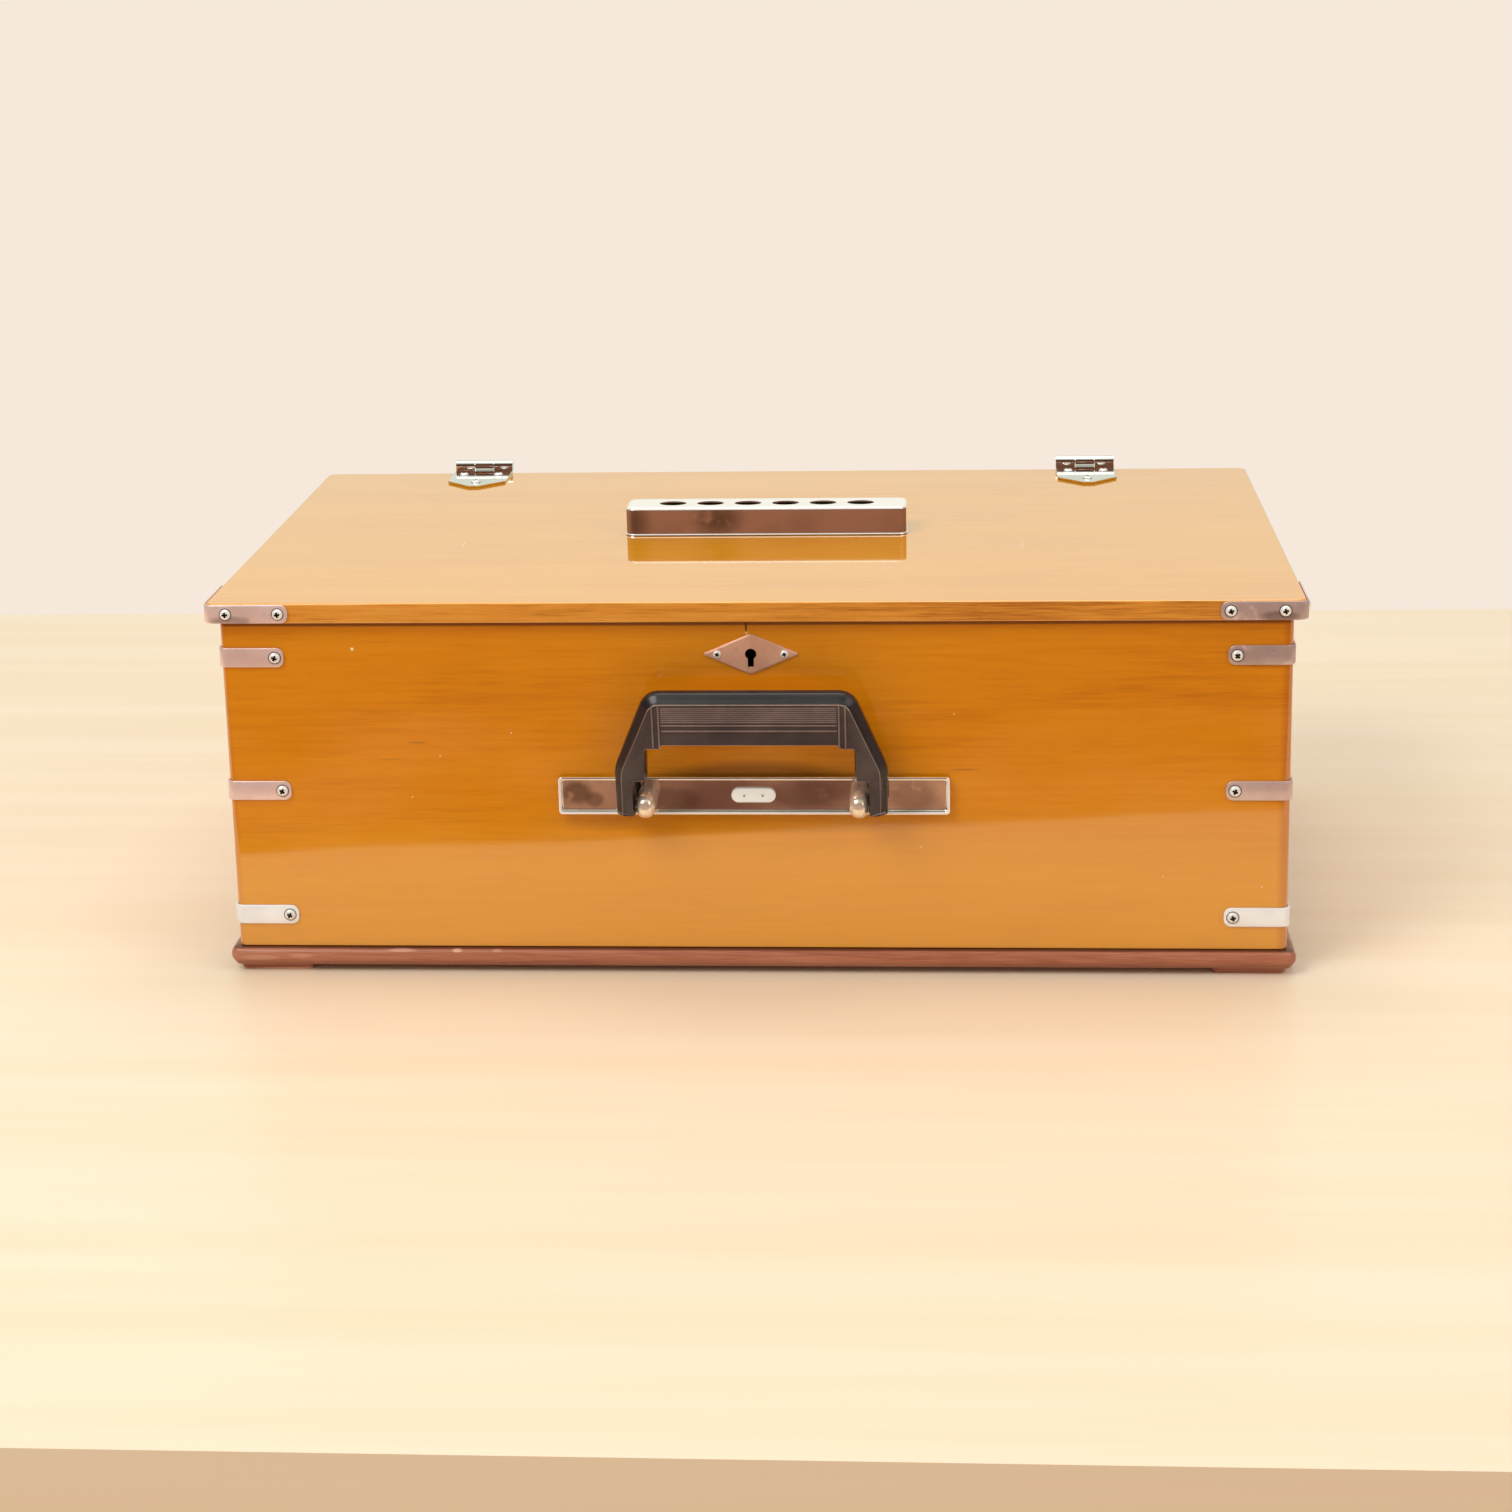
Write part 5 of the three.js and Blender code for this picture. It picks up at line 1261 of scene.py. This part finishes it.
# Painted shade: a black cloth under the holes darkens them.
under = Matrix.Translation(Vector((cover_middle.x, cover_middle.y, cover_high.z - 4.0)) * MM)
cloth = pressed([(0.0, 0.0), (0.0, 0.5)], 82.5, 11.0, 3.0)
settled(made_of("vent_gauze", *cloth, black_gauze, place=under), "lid", "black_plastic")

# %% [markdown]
# Lid hinges
#
# Two chrome hinges sit at the lid's back edge. Their leaves end in a blunt point and their
# three knuckles stand above the lid. Each leaf is held by three screws, two by the knuckles
# and one at the point.

# %% Lid hinges
LEAF = 1.2  # thickness of a leaf

for word in ("left", "right"):
    for body in ("case", "lid"):
        node = f"hinge_{body}_leaf_{word}"
        worked(node, body, "chrome_trim", chrome, ease=0.22, angle=28, crease=32)
    low, high = box_mm(f"hinge_lid_leaf_{word}")
    x, top, wall = (low.x + high.x) / 2, low.z + LEAF, lid_high.y + SEAT + LEAF
    low, high = box_mm(f"hinge_case_leaf_{word}")
    for across, on_lid, on_case in ((-11.5, 13, 22), (11.5, 13, 22), (0.0, 36, 42)):
        lid_screws.append(((x + across, lid_high.y - on_lid, top), (0, 0, 1), 5.6))
        case_screws.append(((x + across, wall, high.z - on_case), (0, 1, 0), 5.6))

# %% [markdown]
# Keys
#
# There are forty-two keys, from C to F. Each is a lever of limewood, and a white key has a
# pale plastic plate with a small lip in front. The twelve keys of the middle octave move; the
# others are one solid with their frame. A worked copy keeps every shape, and a face's place
# says what it is made of: high faces between the front lip and the deck are plates, and the
# tall narrow blocks are the black keys.

# %% Keys
key_low, key_high = box_mm("key_c")
WHITE_TOP, HEAD_BACK, DECK_FRONT = key_high.z, key_low.y + 47.6, -37.94
WHITES, WHITE_WIDTH, KEYS_LEFT, HALF_BLACK = 25, 22.0, -275.0, 5.0
PLATE, BLACK = 2.1, 14.2  # how far below the white keys' tops their plates and the black keys reach


def black_key_spans():
    """Left and right side of every black key, by the same rule that laid out the keyboard."""
    spans, left = [], 0
    while left < WHITES:
        for whites, blacks in ((3, 2), (4, 3)):
            whites = min(whites, WHITES - left)
            if whites <= 0:
                break
            blacks = min(blacks, whites - 1)
            start, slot = left * WHITE_WIDTH + KEYS_LEFT, whites * WHITE_WIDTH / (whites + blacks)
            middles = [start + (2 * i + 1.5) * slot for i in range(blacks)]
            spans += [(middle - HALF_BLACK, middle + HALF_BLACK) for middle in middles]
            left += whites
    return spans


black_spans = black_key_spans()


def key_finish(middle, facing):
    """0 for limewood, 1 for a white plate, 2 for a black key."""
    if middle.y > DECK_FRONT + 0.5:
        return 0
    if middle.y > HEAD_BACK + 1.5 and middle.z > WHITE_TOP - BLACK:
        if any(a - 0.05 < middle.x < b + 0.05 for a, b in black_spans):
            return 2
    return middle.z > WHITE_TOP - PLATE


notes = ["c", "c_sharp", "d", "d_sharp", "e", "f", "f_sharp", "g", "g_sharp", "a", "a_sharp", "b"]
for node, body in [("keyboard_frame", "case")] + [("key_" + note, note) for note in notes]:
    worked(
        node, body, "black_key" if "sharp" in node else "white_key",
        key_limewood, key_white, key_black, choose=key_finish, ease=0.45, steps=3, angle=40,
    )
print(len(black_spans), "black keys found by rule")

# %% [markdown]
# Keyboard surround, deck and stops
#
# A slip in front of the keys, a cheek at each end, and a deck behind them close the
# action in. The deck has six slots over the reeds, and a rail that carries the four
# stop knobs.

# %% Keyboard surround
worked("key_slip", "case", "case_wood", veneer_long, ease=0.8, steps=3)
for side in ("left", "right"):
    worked(f"cheek_{side}", "case", "case_wood", veneer_deep, ease=1.0, steps=3)
worked("deck_panel", "case", "case_wood", veneer_long, ease=0.5)

# %% Stop knobs
STOP_LENGTH, ROD_FROM, DISC = 60.2, 12.4, 0.3
stop_profile = [(1.5, 0.0), (1.5, 48.0), (3.0, 48.0), (3.1, 49.2), (2.7, 50.0), (2.7, 50.8)]
stop_profile += [(3.9, 53.0), (4.0, 54.0), (4.0, 58.6), (3.7, 59.5), (3.0, 60.0)]
stop_profile += [(1.8, STOP_LENGTH)]
for number in (1, 2, 3, 4):
    node = f"stop_knob_{number}"
    low, high = box_mm(node)
    scale = (high.y - low.y) / STOP_LENGTH
    shape = turned([(radius, along * scale) for radius, along in stop_profile], 28)
    place = facing_front((low.x + high.x) / 2, high.y, (low.z + high.z) / 2)
    knob = made_of(node + "_turned", *shape, stop_black, crease=40, place=place)

    def stop_finish(middle, facing):
        """1 for the steel rod, 2 for the pale disc on the knob's face."""
        if middle.y > low.y + ROD_FROM:
            return 1
        return 2 if facing.y < -0.9 and middle.y < low.y + DISC else 0

    face_finishes(knob, [stop_black, screw_steel, key_white], stop_finish)
    settled(knob, f"stop_{number}", "black_plastic", node)

# %% [markdown]
# The wind side
#
# The bellows board closes the back of the case. It is veneered outside, has six intake holes
# with a leather flap behind them, and swings on a long brass hinge along its foot. A turn
# catch holds it shut.

# %% Bellows board and its fittings
worked("bellows_board", "bellows", "case_wood", veneer_long, ease=0.5)
worked("intake_flap", "bellows", "flap_leather", flap_leather, ease=0.3)
worked("bellows_hinge_fixed", "case", "brass", brass, ease=0.15, crease=40)
worked("bellows_hinge_moving", "bellows", "brass", brass, ease=0.15, crease=40)
worked("bellows_catch", "catch", "brass", brass, ease=0.25, crease=40)
worked("bellows_frame", "case", "inner_wood", sanded_board)
SCREW_PITCH, STAGGER = 62.0, 6.0
_, leaf_high = box_mm("bellows_hinge_moving")
bellows_screws = []
for n in range(-4, 5):
    x = n * SCREW_PITCH + (STAGGER if n % 2 else -STAGGER)
    bellows_screws.append(((x, lid_high.y + 1.3, leaf_high.z - 6.5), (0, 1, 0), 5.0))

# %% [markdown]
# Bellows folds
#
# Between the board and the inner frame lie five folds of card and cloth. They could be folded
# by a simulation, but a bellows is stiff card that follows a rule: its outline draws in and
# swells again from fold to fold. Rings of a rounded rectangle do that.
# Their upper edge falls towards the board, so that the catch can hang over the open folds.

# %% Pleats
ROWS_PER_FOLD, FOLD_DEPTH, FOLD_WALL = 8, 6.0, 1.8


def pleated(name, node, axis, folds, slope=0.0):
    """Pleats round a rectangle that fills the node's box. axis is where the folds stack. slope
    is how far the upper edge falls, in millimetres, from the near end to the middle fold."""
    low, high = box_mm(node)
    across, up = [a for a in (0, 1, 2) if a != axis]
    half, middle = (high - low) / 2, (high + low) / 2
    outside = []
    for i in range(folds * ROWS_PER_FOLD + 1):
        swell = 1 - abs(2 * (i / ROWS_PER_FOLD % 1.0) - 1)
        share = i / (folds * ROWS_PER_FOLD)
        outside.append((FOLD_DEPTH * (1 - swell**0.85), share))
    rows = outside + [(inset + FOLD_WALL, share) for inset, share in reversed(outside)]

    outline = []
    rounded = rounded_outline(half[across], half[up], 3.0, steps=3)
    for (u0, v0), (u1, v1) in zip(rounded, rounded[1:] + rounded[:1]):
        pieces = max(1, int(math.hypot(u1 - u0, v1 - v0) / 30))
        steps = [k / pieces for k in range(pieces)]
        outline += [(u0 + (u1 - u0) * step, v0 + (v1 - v0) * step) for step in steps]
    rings = []
    for inset, share in rows:
        fall = slope * min(1.0, 2 * share)
        ring = []
        for u, v in outline:
            place = [0.0, 0.0, 0.0]
            place[across] = middle[across] + u * (half[across] - inset) / half[across]
            place[up] = middle[up] + v * (half[up] - inset) / half[up]
            place[up] -= fall * (v / half[up] + 1) / 2
            place[axis] = low[axis] + (high[axis] - low[axis]) * share
            ring.append(tuple(place))
        rings.append(ring)
    return made_of(name, *between(rings + rings[:1]), bellows_cloth, crease=40)


# %% Both sets of folds
folds = pleated("bellows_pleats", "bellows_folds", 1, 5, slope=22.0)
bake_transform(folds)
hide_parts("bellows_folds")
print("bellows_pleats:", len(folds.data.polygons), "faces, bends from case to bellows")

chest_folds = pleated("reservoir_pleats", "reservoir_folds", 2, 3)
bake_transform(chest_folds)
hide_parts("reservoir_folds")
print("reservoir_pleats:", len(chest_folds.data.polygons), "faces")

# %% [markdown]
# Hidden inner pieces
#
# The reed board, the wind chest, the reservoir's board and its spring lie under the deck, where
# nobody sees them on a closed case. The boards' solids are kept as they are and only get the
# finish of sanded wood. The spring's foot stays on the bottom board while its top sinks with the
# reservoir; a worked copy of it stands in its place.

# %% Hidden boards and the spring
for node in ("reed_board", "wind_chest", "reservoir_board"):
    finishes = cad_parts[node].data.materials
    for i in range(len(finishes)):
        finishes[i] = sanded_board
    print(node, "keeps its solid, in", sanded_board.name)
spring = worked_copy("reservoir_spring", spring_steel, ease=0.01, angle=179)
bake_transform(spring)
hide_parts("reservoir_spring")

# %% Setting the screws
screw_row("case_screws", case_screws, screw_steel, "case", "satin_steel", 3)
screw_row("lid_screws", lid_screws, screw_steel, "lid", "satin_steel", 5)
screw_row("bellows_screws", bellows_screws, brass, "bellows", "brass", 7)

# %% [markdown]
# Table, wall and light
#
# The case stands on a pale table in front of a cream wall. The table's near and far edges are
# where the picture has them, because the lacquer mirrors them: the lower part of the front
# shows the table, and the part above it shows the darker room behind the camera. That room is
# only in the world's reflections. The light itself is plain: one large soft lamp above and to
# the left, a weaker one to the right, one overhead, and an even ambient level.

# %% Table
NEAR, FAR, HALF_WIDTH, THICKNESS = -0.665, 0.634, 4.0, 0.045  # metres
MIRRORED_FROM, MIRRORED_TO = -0.374, -0.388  # where the lacquer's picture of the table ends

paint = Finish("pale_table", IOR=1.45, Roughness=0.34)
streaks = paint.noise(1.0, paint.stretched((1.2, 26.0, 26.0)), detail=3.0)
pale = paint.mix(paint.step(streaks, 0.3, 0.7), rgb(246, 226, 196), rgb(250, 232, 206))
light = paint.node("ShaderNodeLightPath", output="Is Glossy Ray")
across, ahead, _ = paint.axes(paint.spot)
ripple = 0.13 * across + 0.03 * paint.noise(5.0, detail=1.0)
# For reflected rays only, the table beyond MIRRORED_FROM is painted dark brown: a painted
# reflection of the darker room.
unlit = light * paint.step(ahead + ripple, MIRRORED_FROM, MIRRORED_TO)
blots = paint.step(paint.noise(9.0, paint.stretched((1.0, 0.6, 1.0))), 0.3, 0.7)
shade = paint.mix(blots, rgb(98, 58, 44), rgb(186, 136, 104))
paint.feed("Base Color", paint.mix(unlit, pale, shade))
edge = Finish("table_edge", Roughness=0.5)
edge_streaks = edge.noise(1.0, edge.stretched((1.5, 60.0, 60.0)), detail=3.0)
edge.feed("Base Color", edge.mix(edge_streaks, rgb(252, 214, 172), rgb(255, 226, 190)))
around = ((-HALF_WIDTH, NEAR), (HALF_WIDTH, NEAR), (HALF_WIDTH, FAR), (-HALF_WIDTH, FAR))
corners = [(x, y, z) for z in (-THICKNESS, 0.0) for x, y in around]
faces = [(3, 2, 1, 0), (4, 5, 6, 7), (0, 1, 5, 4), (1, 2, 6, 5), (2, 3, 7, 6), (3, 0, 4, 7)]
mesh = bare_mesh("table_top", corners, faces, unit=1)
mesh.materials.append(paint.done())
mesh.materials.append(edge.done())
mesh.polygons[2].material_index = 1
in_scene("table_top", mesh)

# %% World
world = bpy.data.worlds.new("room")
bpy.context.scene.world = world
world.use_nodes = True
room = Tree(world.node_tree)
room.made.nodes.clear()
_, forward, upward = room.axes(room.node("ShaderNodeTexCoord", output="Generated"))
behind = room.step(forward, 0.80, 0.40) * room.step(upward, 0.92, 0.60)
dim = room.mix(room.step(upward, 0.10, 0.34), rgb(136, 92, 68), rgb(72, 46, 34))
mirrored_room = room.mix(behind, rgb(216, 223, 209), dim)
camera_ray, glossy_ray, clear_ray = (
    room.node("ShaderNodeLightPath", output=f"Is {kind} Ray")
    for kind in ("Camera", "Glossy", "Transmission")
)
seen, reflected, ambient = (
    room.node("ShaderNodeBackground", inputs={"Color": colour, "Strength": strength})
    for colour, strength in (
        (rgb(246, 233, 220), 1.0), (mirrored_room, 1.0), ((1.0, 0.95, 0.88, 1.0), 0.55)
    )
)
whole = ambient
for ray, view in ((glossy_ray, reflected), (clear_ray, seen), (camera_ray, seen)):
    whole = room.node("ShaderNodeMixShader", inputs={0: ray, 1: whole, 2: view})
room.node("ShaderNodeOutputWorld", inputs={"Surface": whole})
print("room:", len(room.made.nodes), "nodes")

# %% Lamps
for name, place, size, watts in (
    ("key_lamp", (-1.5, -1.6, 2.4), 1.6, 42),
    ("fill_lamp", (2.0, -1.3, 1.6), 1.6, 12),
    ("top_lamp", (0.1, 0.6, 2.6), 1.8, 20),
):
    data = bpy.data.lights.new(name, "AREA")
    data.shape, data.size, data.energy, data.color = "DISK", size, watts, (1.0, 0.97, 0.93)
    lamp = in_scene(name, data, place)
    aim = Vector((0, 0, 0.1)) - Vector(place)
    lamp.rotation_euler = aim.to_track_quat("-Z", "Y").to_euler()
    print(name, watts, "watts")

# %% [markdown]
# Picture settings
#
# The Standard view shows colours as they are written.

# %% Finish
bpy.context.scene.view_settings.view_transform = "Standard"
